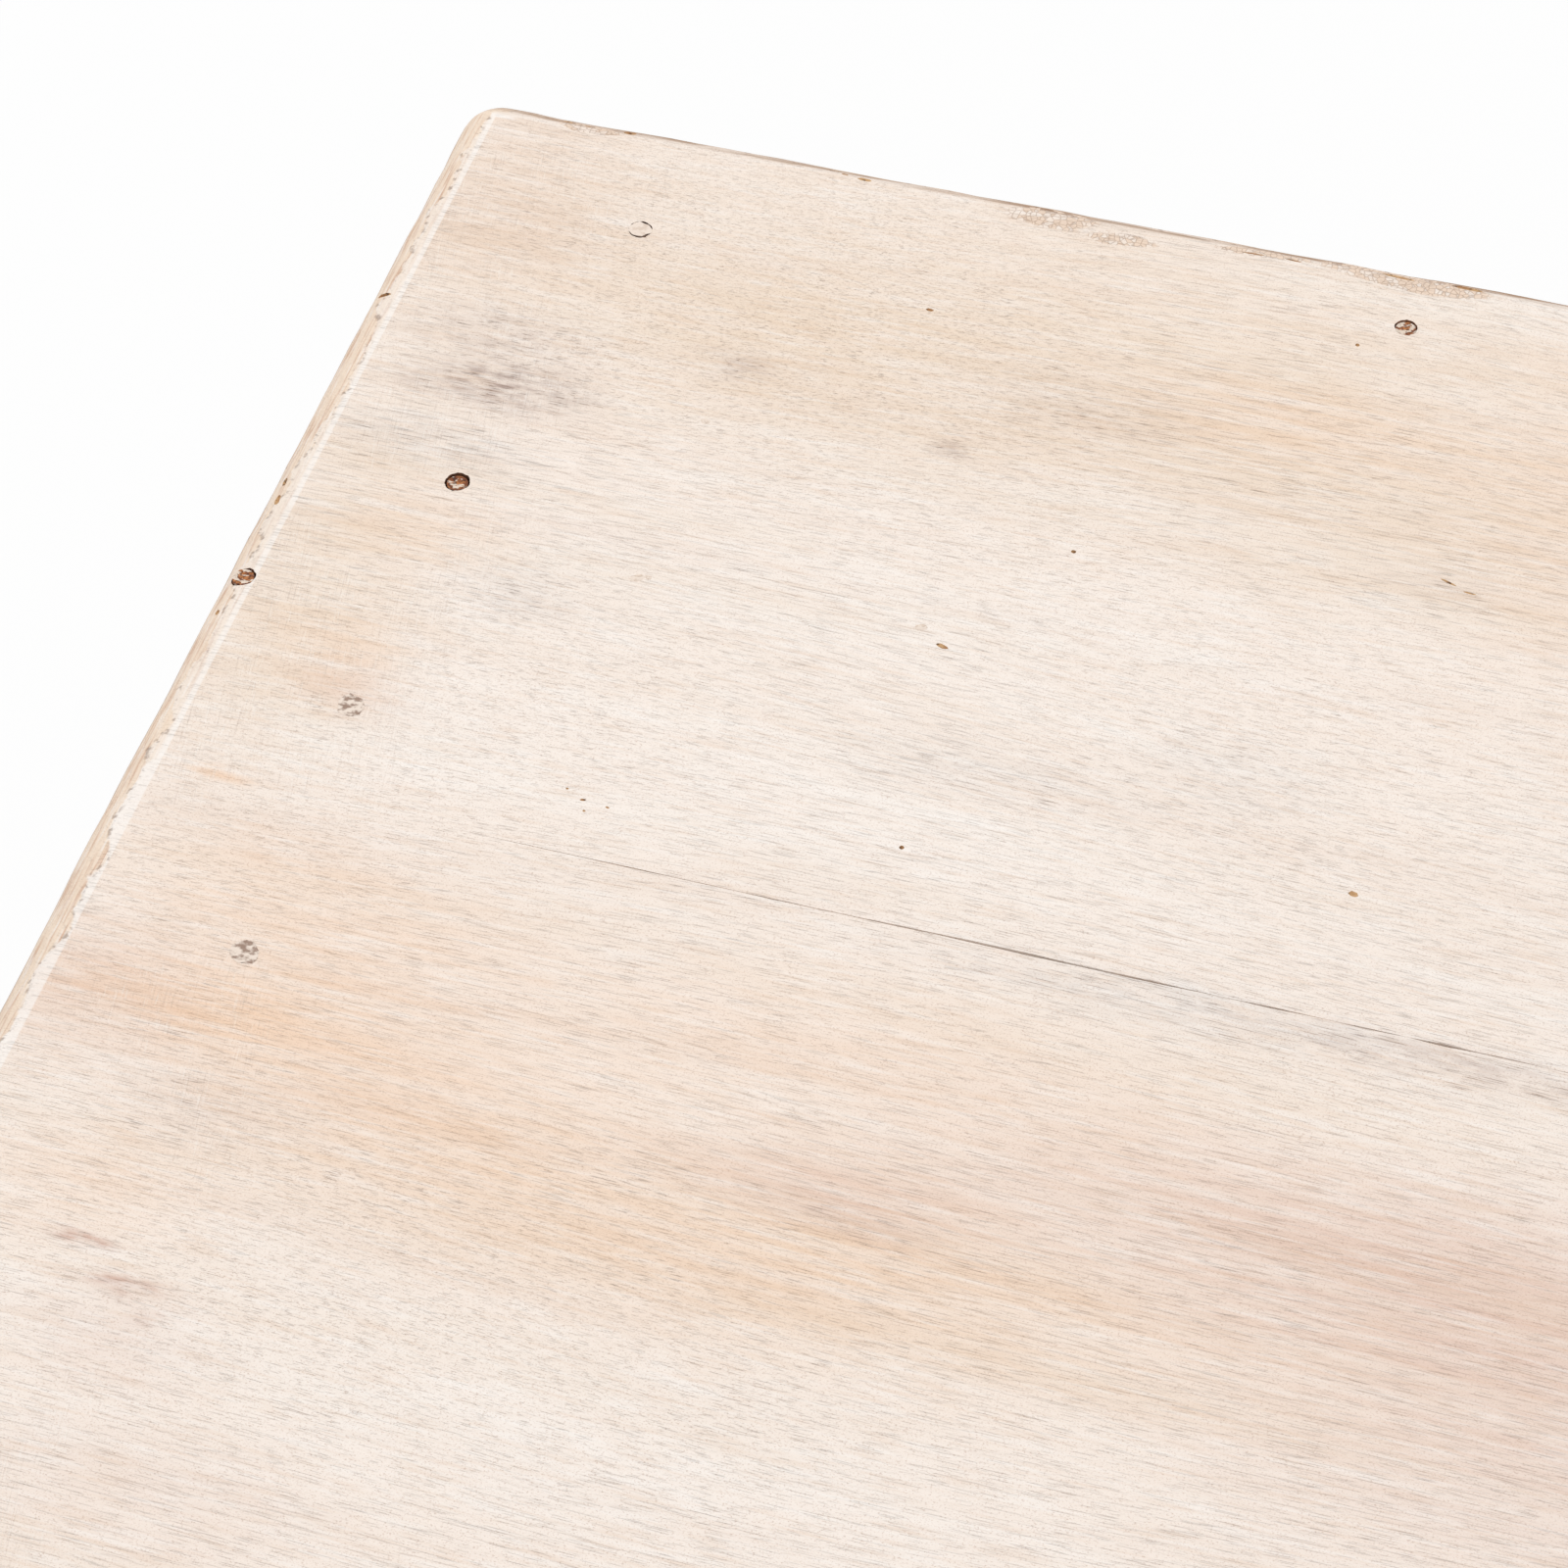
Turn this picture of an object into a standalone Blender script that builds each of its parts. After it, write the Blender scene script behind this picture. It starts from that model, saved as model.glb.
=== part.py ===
"""A full apple box: a nailed wooden box with a handhold in each end.

Lengths are in metres and +Z is up. The origin is in the middle of the footprint, X runs along the
length and +Y points to the back. The box has no moving parts.
"""

import math
from dataclasses import dataclass, field

import bmesh
import bpy
from mathutils import Vector

# Outside of the box
LENGTH = 0.508
WIDTH = 0.3048
HEIGHT = 0.2032

# Boards
COVER_THICKNESS = 0.01905
SIDE_THICKNESS = 0.01905
END_THICKNESS = 0.01905
RIB_THICKNESS = 0.01905
CLEAT_WIDTH = 0.0254
CLEAT_DEPTH = 0.0381

# Joints between the boards
FIT_GAP = 0.0003
SEAM_GAP = 0.0004
TONGUE_THICKNESS = 0.00635
TONGUE_DEPTH = 0.008
TONGUE_STOP = 0.02
RABBET_DEPTH = 0.00635
DADO_DEPTH = 0.00635

# Rounded edges: the plan corners are rounded a little more than the rim that runs over them
RIM_RADIUS = 0.005
CORNER_EXTRA = 0.0015
ROUND_STEPS = 4

# Handholds
HANDHOLD_LENGTH = 0.108
HANDHOLD_HEIGHT = 0.032
HANDHOLD_RIM = 0.003
HANDHOLD_RIM_STEPS = 3
HANDHOLD_ARC_STEPS = 8

# Finishing nails, set a little below the surface
NAIL_LENGTH = 0.0508
NAIL_SHANK = 0.0024
NAIL_HEAD_LIP = 0.0004
NAIL_HEAD_EDGE = 0.0007
NAIL_HEAD_TAPER = 0.0009
NAIL_POINT = 0.004
NAIL_SET = 0.0005
NAIL_SIDES = 10

# Rows of nails: how many, how far the outer ones stay from the corner, and how far each one strays
TOP_END_NAIL_COUNT = 6
TOP_END_MARGIN = 0.0257
TOP_LONG_NAIL_COUNT = 3
TOP_LONG_MARGIN = 0.1561
BOTTOM_END_NAIL_COUNT = 4
BOTTOM_END_MARGIN = 0.0385
BOTTOM_LONG_NAIL_COUNT = 2
BOTTOM_LONG_MARGIN = 0.165
CORNER_NAIL_COUNT = 3
CORNER_NAIL_MARGIN = 0.0255
RIB_NAIL_FROM_SEAM = 0.0765
RIM_NAIL_FROM_BACK = 0.1144
RIM_NAIL_FROM_CREST = 0.0012

# Hand-driven nails stray from their line: towards the middle of the box, then along the row
END_ROW_STRAY = (
    (0.0044, 0.0),
    (-0.0047, 0.0110),
    (-0.0044, 0.0073),
    (-0.0026, 0.0033),
    (0.0012, -0.0021),
    (-0.0018, 0.0024),
)
LONG_ROW_STRAY = ((0.0057, 0.0), (-0.0009, 0.0018), (0.0014, -0.0035))

# Fineness of the working geometry
TOUCH = 0.000001
CUT_MARGIN = 0.002
SMOOTH_BELOW = math.radians(35.0)

# Finishes: base colour, roughness and metallic value
LIMED_BOARD = ((0.871, 0.745, 0.651, 1.0), 0.62, 0.0)
BARE_PINE = ((0.591, 0.405, 0.238, 1.0), 0.7, 0.0)
RUSTED_STEEL = ((0.178, 0.102, 0.064, 1.0), 0.75, 0.8)

# Heights of the walls between the covers, and the inner faces of the walls
WALL_LOW = COVER_THICKNESS + FIT_GAP
WALL_HIGH = HEIGHT - COVER_THICKNESS - FIT_GAP
SIDE_INNER = WIDTH / 2 - SIDE_THICKNESS
END_INNER = LENGTH / 2 - END_THICKNESS
CORNER_RADIUS = RIM_RADIUS + CORNER_EXTRA

SIDE_NAMES = {1: "back", -1: "front"}
END_NAMES = {-1: "left", 1: "right"}
COVER_NAMES = {1: "top", -1: "bottom"}


@dataclass
class Board:
    """A board's object, its lowest and highest corners, and the tools that are cut out of it."""

    obj: bpy.types.Object
    low: Vector
    high: Vector
    cuts: list = field(default_factory=list)


@dataclass
class Nail:
    """A nail's name, the point where it enters the surface, and the way it is driven."""

    name: str
    entry: Vector
    drive: Vector


def clear_scene():
    """Remove whatever objects the scene holds."""
    for obj in list(bpy.data.objects):
        bpy.data.objects.remove(obj)


def make_material(name, finish):
    """A Principled material with a finish's colour, roughness and metallic value."""
    colour, roughness, metallic = finish
    material = bpy.data.materials.new(name)
    material.use_nodes = True
    shader = material.node_tree.nodes["Principled BSDF"]
    shader.inputs["Base Color"].default_value = colour
    shader.inputs["Roughness"].default_value = roughness
    shader.inputs["Metallic"].default_value = metallic
    material.diffuse_color = colour
    return material


def mesh_from(name, bm):
    """A smooth-shaded mesh with crisp corners, made from a bmesh."""
    mesh = bpy.data.meshes.new(name)
    bm.to_mesh(mesh)
    bm.free()
    mesh.shade_smooth()
    mesh.set_sharp_from_angle(angle=SMOOTH_BELOW)
    return mesh


def add_object(name, mesh, location):
    """Put a mesh into the scene as an object."""
    obj = bpy.data.objects.new(name, mesh)
    obj.location = location
    bpy.context.scene.collection.objects.link(obj)
    return obj


def hide_tool(obj):
    """Mark an object as a working shape that isn't a piece of the box."""
    obj.hide_render = True
    obj.display_type = "WIRE"
    return obj


def box_bmesh(low, high):
    """A box around its own middle, as large as the space between two corners."""
    bm = bmesh.new()
    bmesh.ops.create_cube(bm, size=1.0)
    bmesh.ops.scale(bm, vec=high - low, verts=bm.verts)
    return bm


def tool_box(name, low, high):
    """A hidden box between two corners, to cut with or to join on."""
    bm = box_bmesh(low, high)
    return hide_tool(add_object(name, mesh_from(name, bm), (low + high) / 2))


def join_on(obj, tool):
    """Join a tool's shape on to an object."""
    modifier = obj.modifiers.new(tool.name, "BOOLEAN")
    modifier.operation = "UNION"
    modifier.solver = "EXACT"
    modifier.object = tool


def cut_out(board):
    """Cut all of a board's tools out of it at once."""
    tools = bpy.data.collections.new(f"{board.obj.name}_cuts")
    for tool in board.cuts:
        tools.objects.link(tool)
    modifier = board.obj.modifiers.new(tools.name, "BOOLEAN")
    modifier.operation = "DIFFERENCE"
    modifier.solver = "EXACT"
    modifier.operand_type = "COLLECTION"
    modifier.collection = tools


def make_board(name, low, high, material, shape=None):
    """A board between two corners, with its edges shaped by a function of its bmesh."""
    bm = box_bmesh(low, high)
    if shape:
        shape(bm, (high - low) / 2)
    obj = add_object(name, mesh_from(name, bm), (low + high) / 2)
    obj.data.materials.append(material)
    return Board(obj, low, high)


def near(value, target):
    """Whether two coordinates are the same."""
    return abs(value - target) < TOUCH


def round_edges(bm, edges, radius):
    """Round edges with an arc."""
    bmesh.ops.bevel(
        bm,
        geom=edges,
        offset=radius,
        segments=ROUND_STEPS,
        profile=0.5,
        affect="EDGES",
    )


def round_outer_corners(bm, half, y_side):
    """Round the two upright edges on a board's outer long face."""
    edges = []
    for edge in bm.edges:
        first, second = edge.verts
        upright = near(first.co.x, second.co.x) and near(first.co.y, second.co.y)
        if upright and near(first.co.y, y_side * half.y):
            edges.append(edge)
    round_edges(bm, edges, CORNER_RADIUS)


def round_rim(bm, half, y_side, z_side):
    """Round the three outer edges of a cover board's face, up to its seam."""
    edges = []
    for edge in bm.edges:
        on_face = all(near(vert.co.z, z_side * half.z) for vert in edge.verts)
        on_seam = all(near(vert.co.y, -y_side * half.y) for vert in edge.verts)
        if on_face and not on_seam:
            edges.append(edge)
    round_edges(bm, edges, RIM_RADIUS)


def cover_board(y_side, z_side, material):
    """One board of the top or the bottom: the back one has the tongue, the front one the groove."""
    name = f"{COVER_NAMES[z_side]}_{SIDE_NAMES[y_side]}_board"
    y_low, y_high = sorted((y_side * SEAM_GAP / 2, y_side * WIDTH / 2))
    z_low = HEIGHT - COVER_THICKNESS if z_side > 0 else 0.0
    low = Vector((-LENGTH / 2, y_low, z_low))
    high = Vector((LENGTH / 2, y_high, z_low + COVER_THICKNESS))

    def shape(bm, half):
        round_outer_corners(bm, half, y_side)
        round_rim(bm, half, y_side, z_side)

    board = make_board(name, low, high, material, shape)
    half_run = LENGTH / 2 - TONGUE_STOP
    half_tongue = TONGUE_THICKNESS / 2
    z_mid = z_low + COVER_THICKNESS / 2
    if y_side > 0:
        tongue = tool_box(
            f"{name}_tongue",
            Vector((-half_run, -TONGUE_DEPTH, z_mid - half_tongue)),
            Vector((half_run, SEAM_GAP / 2 + CUT_MARGIN, z_mid + half_tongue)),
        )
        join_on(board.obj, tongue)
        board.low.y = -TONGUE_DEPTH
    else:
        play = Vector((FIT_GAP, FIT_GAP, FIT_GAP))
        groove = tool_box(
            f"{name}_groove",
            Vector((-half_run, -TONGUE_DEPTH, z_mid - half_tongue)) - play,
            Vector((half_run, CUT_MARGIN, z_mid + half_tongue)) + play,
        )
        board.cuts.append(groove)
    return board


def side_board(y_side, material):
    """A long wall, rabbeted for the ends and grooved across for the rib."""
    name = f"{SIDE_NAMES[y_side]}_side"
    y_low, y_high = sorted((y_side * SIDE_INNER, y_side * WIDTH / 2))
    low = Vector((-LENGTH / 2, y_low, WALL_LOW))
    high = Vector((LENGTH / 2, y_high, WALL_HIGH))

    def shape(bm, half):
        round_outer_corners(bm, half, y_side)

    board = make_board(name, low, high, material, shape)
    z_low = WALL_LOW - CUT_MARGIN
    z_high = WALL_HIGH + CUT_MARGIN
    open_y = y_side * (SIDE_INNER - CUT_MARGIN)
    for x_side, end_name in END_NAMES.items():
        x_low, x_high = sorted((x_side * (END_INNER - FIT_GAP), x_side * (LENGTH / 2 + CUT_MARGIN)))
        rabbet_low, rabbet_high = sorted((open_y, y_side * (SIDE_INNER + RABBET_DEPTH)))
        rabbet = tool_box(
            f"{name}_{end_name}_rabbet",
            Vector((x_low, rabbet_low, z_low)),
            Vector((x_high, rabbet_high, z_high)),
        )
        board.cuts.append(rabbet)
    dado_low, dado_high = sorted((open_y, y_side * (SIDE_INNER + DADO_DEPTH)))
    half_dado = RIB_THICKNESS / 2 + FIT_GAP
    dado = tool_box(
        f"{name}_dado",
        Vector((-half_dado, dado_low, z_low)),
        Vector((half_dado, dado_high, z_high)),
    )
    board.cuts.append(dado)
    return board


def handhold_ring(bm, x, grow):
    """A closed ring of points around the handhold's slot, grown outwards by a given amount."""
    radius = HANDHOLD_HEIGHT / 2
    half_straight = HANDHOLD_LENGTH / 2 - radius
    ring = []
    for y_side in (1, -1):
        for step in range(HANDHOLD_ARC_STEPS + 1):
            angle = math.pi * step / HANDHOLD_ARC_STEPS
            y = y_side * (half_straight + (radius + grow) * math.sin(angle))
            z = y_side * (radius + grow) * math.cos(angle)
            ring.append(bm.verts.new((x, y, z)))
    return ring


def handhold_tool(name, centre):
    """A slot-shaped plug that flares at both faces of the end board, to round the slot's rim."""
    half = END_THICKNESS / 2
    sections = [(-half - CUT_MARGIN, HANDHOLD_RIM)]
    for step in range(1, HANDHOLD_RIM_STEPS + 1):
        turn = math.pi / 2 * step / HANDHOLD_RIM_STEPS
        depth = HANDHOLD_RIM * (1 - math.cos(turn))
        sections.append((-half + depth, HANDHOLD_RIM * (1 - math.sin(turn))))
    sections += [(-x, grow) for x, grow in reversed(sections)]
    bm = bmesh.new()
    rings = [handhold_ring(bm, x, grow) for x, grow in sections]
    for ring, following in zip(rings, rings[1:]):
        for index in range(len(ring)):
            after = (index + 1) % len(ring)
            bm.faces.new((ring[index], ring[after], following[after], following[index]))
    bm.faces.new(rings[0])
    bm.faces.new(rings[-1])
    bmesh.ops.recalc_face_normals(bm, faces=bm.faces)
    return hide_tool(add_object(name, mesh_from(name, bm), centre))


def end_board(x_side, material):
    """A short wall with its handhold, held in the rabbets of the sides."""
    name = f"{END_NAMES[x_side]}_end"
    x_low, x_high = sorted((x_side * END_INNER, x_side * LENGTH / 2))
    y_reach = SIDE_INNER + RABBET_DEPTH - FIT_GAP
    low = Vector((x_low, -y_reach, WALL_LOW))
    high = Vector((x_high, y_reach, WALL_HIGH))
    board = make_board(name, low, high, material)
    board.cuts.append(handhold_tool(f"{name}_handhold", (low + high) / 2))
    return board


def rib_board(material):
    """The upright board across the middle, held in the dadoes of the sides."""
    y_reach = SIDE_INNER + DADO_DEPTH - FIT_GAP
    low = Vector((-RIB_THICKNESS / 2, -y_reach, WALL_LOW))
    high = Vector((RIB_THICKNESS / 2, y_reach, WALL_HIGH))
    return make_board("centre_rib", low, high, material)


def cleat(x_side, z_side, material):
    """A batten along the inside of an end, which takes the end row of nails."""
    name = f"{END_NAMES[x_side]}_{COVER_NAMES[z_side]}_cleat"
    x_outer = END_INNER - FIT_GAP
    x_low, x_high = sorted((x_side * x_outer, x_side * (x_outer - CLEAT_WIDTH)))
    z_low = WALL_HIGH - CLEAT_DEPTH if z_side > 0 else WALL_LOW
    y_reach = SIDE_INNER - FIT_GAP
    low = Vector((x_low, -y_reach, z_low))
    high = Vector((x_high, y_reach, z_low + CLEAT_DEPTH))
    return make_board(name, low, high, material)


def evenly(first, last, count):
    """Values at one pitch from the first to the last."""
    pitch = (last - first) / (count - 1)
    return [first + pitch * index for index in range(count)]


def end_row(x_side, z_side, count, margin):
    """Nails along one end of the top or bottom, into the cleat below them."""
    line = END_INNER - FIT_GAP - CLEAT_WIDTH / 2
    z = HEIGHT if z_side > 0 else 0.0
    strays = END_ROW_STRAY[::-x_side * z_side]
    nails = []
    for index, y in enumerate(evenly(WIDTH / 2 - margin, margin - WIDTH / 2, count)):
        inwards, along = strays[index % len(strays)]
        entry = Vector((x_side * (line - inwards), y - along, z))
        name = f"{COVER_NAMES[z_side]}_{END_NAMES[x_side]}_nail_{index + 1}"
        nails.append(Nail(name, entry, Vector((0, 0, -z_side))))
    return nails


def long_row(y_side, z_side, count, margin):
    """Nails along one long edge of the top or bottom, into the edge of the side below them."""
    line = WIDTH / 2 - SIDE_THICKNESS / 2
    z = HEIGHT if z_side > 0 else 0.0
    strays = LONG_ROW_STRAY[::y_side]
    nails = []
    for index, x in enumerate(evenly(margin - LENGTH / 2, LENGTH / 2 - margin, count)):
        inwards, along = strays[index % len(strays)]
        entry = Vector((x + along, y_side * (line - inwards), z))
        name = f"{COVER_NAMES[z_side]}_{SIDE_NAMES[y_side]}_nail_{index + 1}"
        nails.append(Nail(name, entry, Vector((0, 0, -z_side))))
    return nails


def corner_row(x_side, y_side):
    """Nails up one corner of the box, through the side and into the edge of the end."""
    x = x_side * (LENGTH / 2 - END_THICKNESS / 2)
    heights = evenly(WALL_LOW + CORNER_NAIL_MARGIN, WALL_HIGH - CORNER_NAIL_MARGIN, CORNER_NAIL_COUNT)
    nails = []
    for index, z in enumerate(heights):
        name = f"{END_NAMES[x_side]}_{SIDE_NAMES[y_side]}_nail_{index + 1}"
        nails.append(Nail(name, Vector((x, y_side * WIDTH / 2, z)), Vector((0, -y_side, 0))))
    return nails


def all_nails():
    """Every nail of the box."""
    nails = []
    for x_side in END_NAMES:
        nails += end_row(x_side, 1, TOP_END_NAIL_COUNT, TOP_END_MARGIN)
        nails += end_row(x_side, -1, BOTTOM_END_NAIL_COUNT, BOTTOM_END_MARGIN)
    for y_side, side_name in SIDE_NAMES.items():
        nails += long_row(y_side, 1, TOP_LONG_NAIL_COUNT, TOP_LONG_MARGIN)
        nails += long_row(y_side, -1, BOTTOM_LONG_NAIL_COUNT, BOTTOM_LONG_MARGIN)
        rib_entry = Vector((0, y_side * RIB_NAIL_FROM_SEAM, HEIGHT))
        nails.append(Nail(f"top_rib_{side_name}_nail", rib_entry, Vector((0, 0, -1))))
        for x_side in END_NAMES:
            nails += corner_row(x_side, y_side)
    rim_x = RIM_RADIUS - RIM_NAIL_FROM_CREST - LENGTH / 2
    rim_entry = Vector((rim_x, WIDTH / 2 - RIM_NAIL_FROM_BACK, HEIGHT))
    nails.append(Nail("top_rim_nail", rim_entry, Vector((0, 0, -1))))
    return nails


def turned_mesh(name, profile):
    """A mesh turned about Z from a profile of radius and height, closed at both ends."""
    bm = bmesh.new()
    points = [bm.verts.new((radius, 0, height)) for radius, height in profile]
    edges = [bm.edges.new(pair) for pair in zip(points, points[1:])]
    bmesh.ops.spin(
        bm,
        geom=points + edges,
        cent=(0, 0, 0),
        axis=(0, 0, 1),
        dvec=(0, 0, 0),
        angle=2 * math.pi,
        steps=NAIL_SIDES,
        use_merge=True,
    )
    bmesh.ops.remove_doubles(bm, verts=bm.verts, dist=TOUCH)
    bmesh.ops.recalc_face_normals(bm, faces=bm.faces)
    return mesh_from(name, bm)


def nail_mesh():
    """A finishing nail below its own head: a small tapered head, a shank and a point."""
    shank = NAIL_SHANK / 2
    head = shank + NAIL_HEAD_LIP
    return turned_mesh(
        "finishing_nail",
        [
            (0, 0),
            (head, 0),
            (head, -NAIL_HEAD_EDGE),
            (shank, -NAIL_HEAD_EDGE - NAIL_HEAD_TAPER),
            (shank, NAIL_POINT - NAIL_LENGTH),
            (0, -NAIL_LENGTH),
        ],
    )


def nail_hole_mesh():
    """The hole a nail leaves, open above its head and clear of it all round."""
    shank = NAIL_SHANK / 2 + FIT_GAP
    head = shank + NAIL_HEAD_LIP
    mouth = NAIL_SET + CUT_MARGIN
    floor = -NAIL_LENGTH - FIT_GAP
    return turned_mesh(
        "nail_hole",
        [
            (0, mouth),
            (head, mouth),
            (head, -NAIL_HEAD_EDGE - FIT_GAP),
            (shank, -NAIL_HEAD_EDGE - NAIL_HEAD_TAPER - FIT_GAP),
            (shank, floor),
            (0, floor),
        ],
    )


def reaches(nail, board):
    """Whether a nail's hole comes inside a board's corners."""
    radius = NAIL_SHANK / 2 + NAIL_HEAD_LIP + FIT_GAP
    tip = nail.entry + nail.drive * (NAIL_SET + NAIL_LENGTH + FIT_GAP)
    for axis in range(3):
        if max(nail.entry[axis], tip[axis]) + radius < board.low[axis]:
            return False
        if min(nail.entry[axis], tip[axis]) - radius > board.high[axis]:
            return False
    return True


def drive_nails(nails, boards, material):
    """Make each nail, and its hole in every board that it goes into."""
    shape = nail_mesh()
    shape.materials.append(material)
    hole_shape = nail_hole_mesh()
    for nail in nails:
        turn = Vector((0, 0, -1)).rotation_difference(nail.drive).to_euler()
        head = nail.entry + nail.drive * NAIL_SET
        add_object(nail.name, shape, head).rotation_euler = turn
        hole = hide_tool(add_object(f"{nail.name}_hole", hole_shape, head))
        hole.rotation_euler = turn
        for board in boards:
            if reaches(nail, board):
                board.cuts.append(hole)


def main():
    """Build the box."""
    clear_scene()
    limed = make_material("limed_board", LIMED_BOARD)
    pine = make_material("bare_pine", BARE_PINE)
    steel = make_material("rusted_steel", RUSTED_STEEL)
    boards = [cover_board(y_side, z_side, limed) for z_side in COVER_NAMES for y_side in SIDE_NAMES]
    boards += [side_board(y_side, limed) for y_side in SIDE_NAMES]
    boards += [end_board(x_side, limed) for x_side in END_NAMES]
    boards.append(rib_board(pine))
    boards += [cleat(x_side, z_side, pine) for x_side in END_NAMES for z_side in COVER_NAMES]
    drive_nails(all_nails(), boards, steel)
    for board in boards:
        cut_out(board)


main()
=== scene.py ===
"""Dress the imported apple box: limed boards, hand-driven nails and bare pine, in a plain studio.

Lengths are in metres and +Z is up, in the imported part's own frame: the origin is in the middle of
the footprint, X runs along the box and +Y points to its back. Finishes count in millimetres.
"""

import logging
import math
import random
from collections.abc import Callable, Iterator
from contextlib import contextmanager
from dataclasses import dataclass
from enum import Enum
from functools import cache

import bmesh
import bpy
from mathutils import Matrix, Vector, noise


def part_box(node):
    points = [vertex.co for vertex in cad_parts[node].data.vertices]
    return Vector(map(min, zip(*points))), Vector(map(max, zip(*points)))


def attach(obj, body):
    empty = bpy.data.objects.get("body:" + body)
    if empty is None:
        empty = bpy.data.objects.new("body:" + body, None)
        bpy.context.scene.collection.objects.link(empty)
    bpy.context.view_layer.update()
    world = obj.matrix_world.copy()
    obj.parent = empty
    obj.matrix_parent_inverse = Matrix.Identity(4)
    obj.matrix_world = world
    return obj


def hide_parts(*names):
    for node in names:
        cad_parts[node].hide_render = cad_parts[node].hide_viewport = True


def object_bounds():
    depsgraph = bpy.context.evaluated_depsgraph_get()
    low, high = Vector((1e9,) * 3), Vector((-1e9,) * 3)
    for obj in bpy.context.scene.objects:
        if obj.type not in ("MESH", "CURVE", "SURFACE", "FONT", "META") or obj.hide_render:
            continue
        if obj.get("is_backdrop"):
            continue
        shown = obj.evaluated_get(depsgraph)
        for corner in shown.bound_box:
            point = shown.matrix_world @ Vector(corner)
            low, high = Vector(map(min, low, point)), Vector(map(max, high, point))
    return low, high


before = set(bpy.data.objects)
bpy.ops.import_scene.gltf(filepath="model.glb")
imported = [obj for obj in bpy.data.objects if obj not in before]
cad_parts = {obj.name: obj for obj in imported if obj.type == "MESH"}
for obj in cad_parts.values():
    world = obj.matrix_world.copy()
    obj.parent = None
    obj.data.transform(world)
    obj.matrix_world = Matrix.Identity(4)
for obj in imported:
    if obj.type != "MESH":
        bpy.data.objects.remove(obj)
log = logging.getLogger("apple_box")

MM = 0.001
TOUCH = 0.000002
BODY = "root"
SMOOTH_BELOW = math.radians(32.0)
STAIN_RISE = 16.0

# Sockets of the Mix node that carry colours
FACTOR = 0
UNDER = 6
OVER = 7
MIXED = 2

Hex = str
Socket = bpy.types.NodeSocket
Link = Socket | float | tuple
Piece = bpy.types.Object
Pair = tuple[float, float]
Triple = tuple[float, float, float]


def linear(colour: Hex) -> tuple[float, float, float, float]:
    """Turn an sRGB hex colour into the linear colour that a socket takes.

    Args:
        colour: six hex digits after a hash.

    Returns:
        Linear red, green and blue, and full alpha.
    """
    shares = [int(colour[at : at + 2], 16) / 255 for at in (1, 3, 5)]
    channels = [s / 12.92 if s <= 0.04045 else ((s + 0.055) / 1.055) ** 2.4 for s in shares]
    return (channels[0], channels[1], channels[2], 1.0)


@cache
def cad_box(node: str) -> tuple[Vector, Vector]:
    """Look up a CAD node's lowest and highest corners."""
    low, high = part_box(node)
    return low.freeze(), high.freeze()


@dataclass(frozen=True)
class Figure:
    """A random figure: its blotches' size in millimetres, its finer layers and its spread.

    The raw values between the limits are spread over the reach.
    """

    size: Triple
    detail: float
    limits: Pair
    reach: Pair = (0.0, 1.0)


@dataclass(frozen=True)
class Veil:
    """A colour that shows where a random figure says."""

    colour: Hex
    figure: Figure


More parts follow.
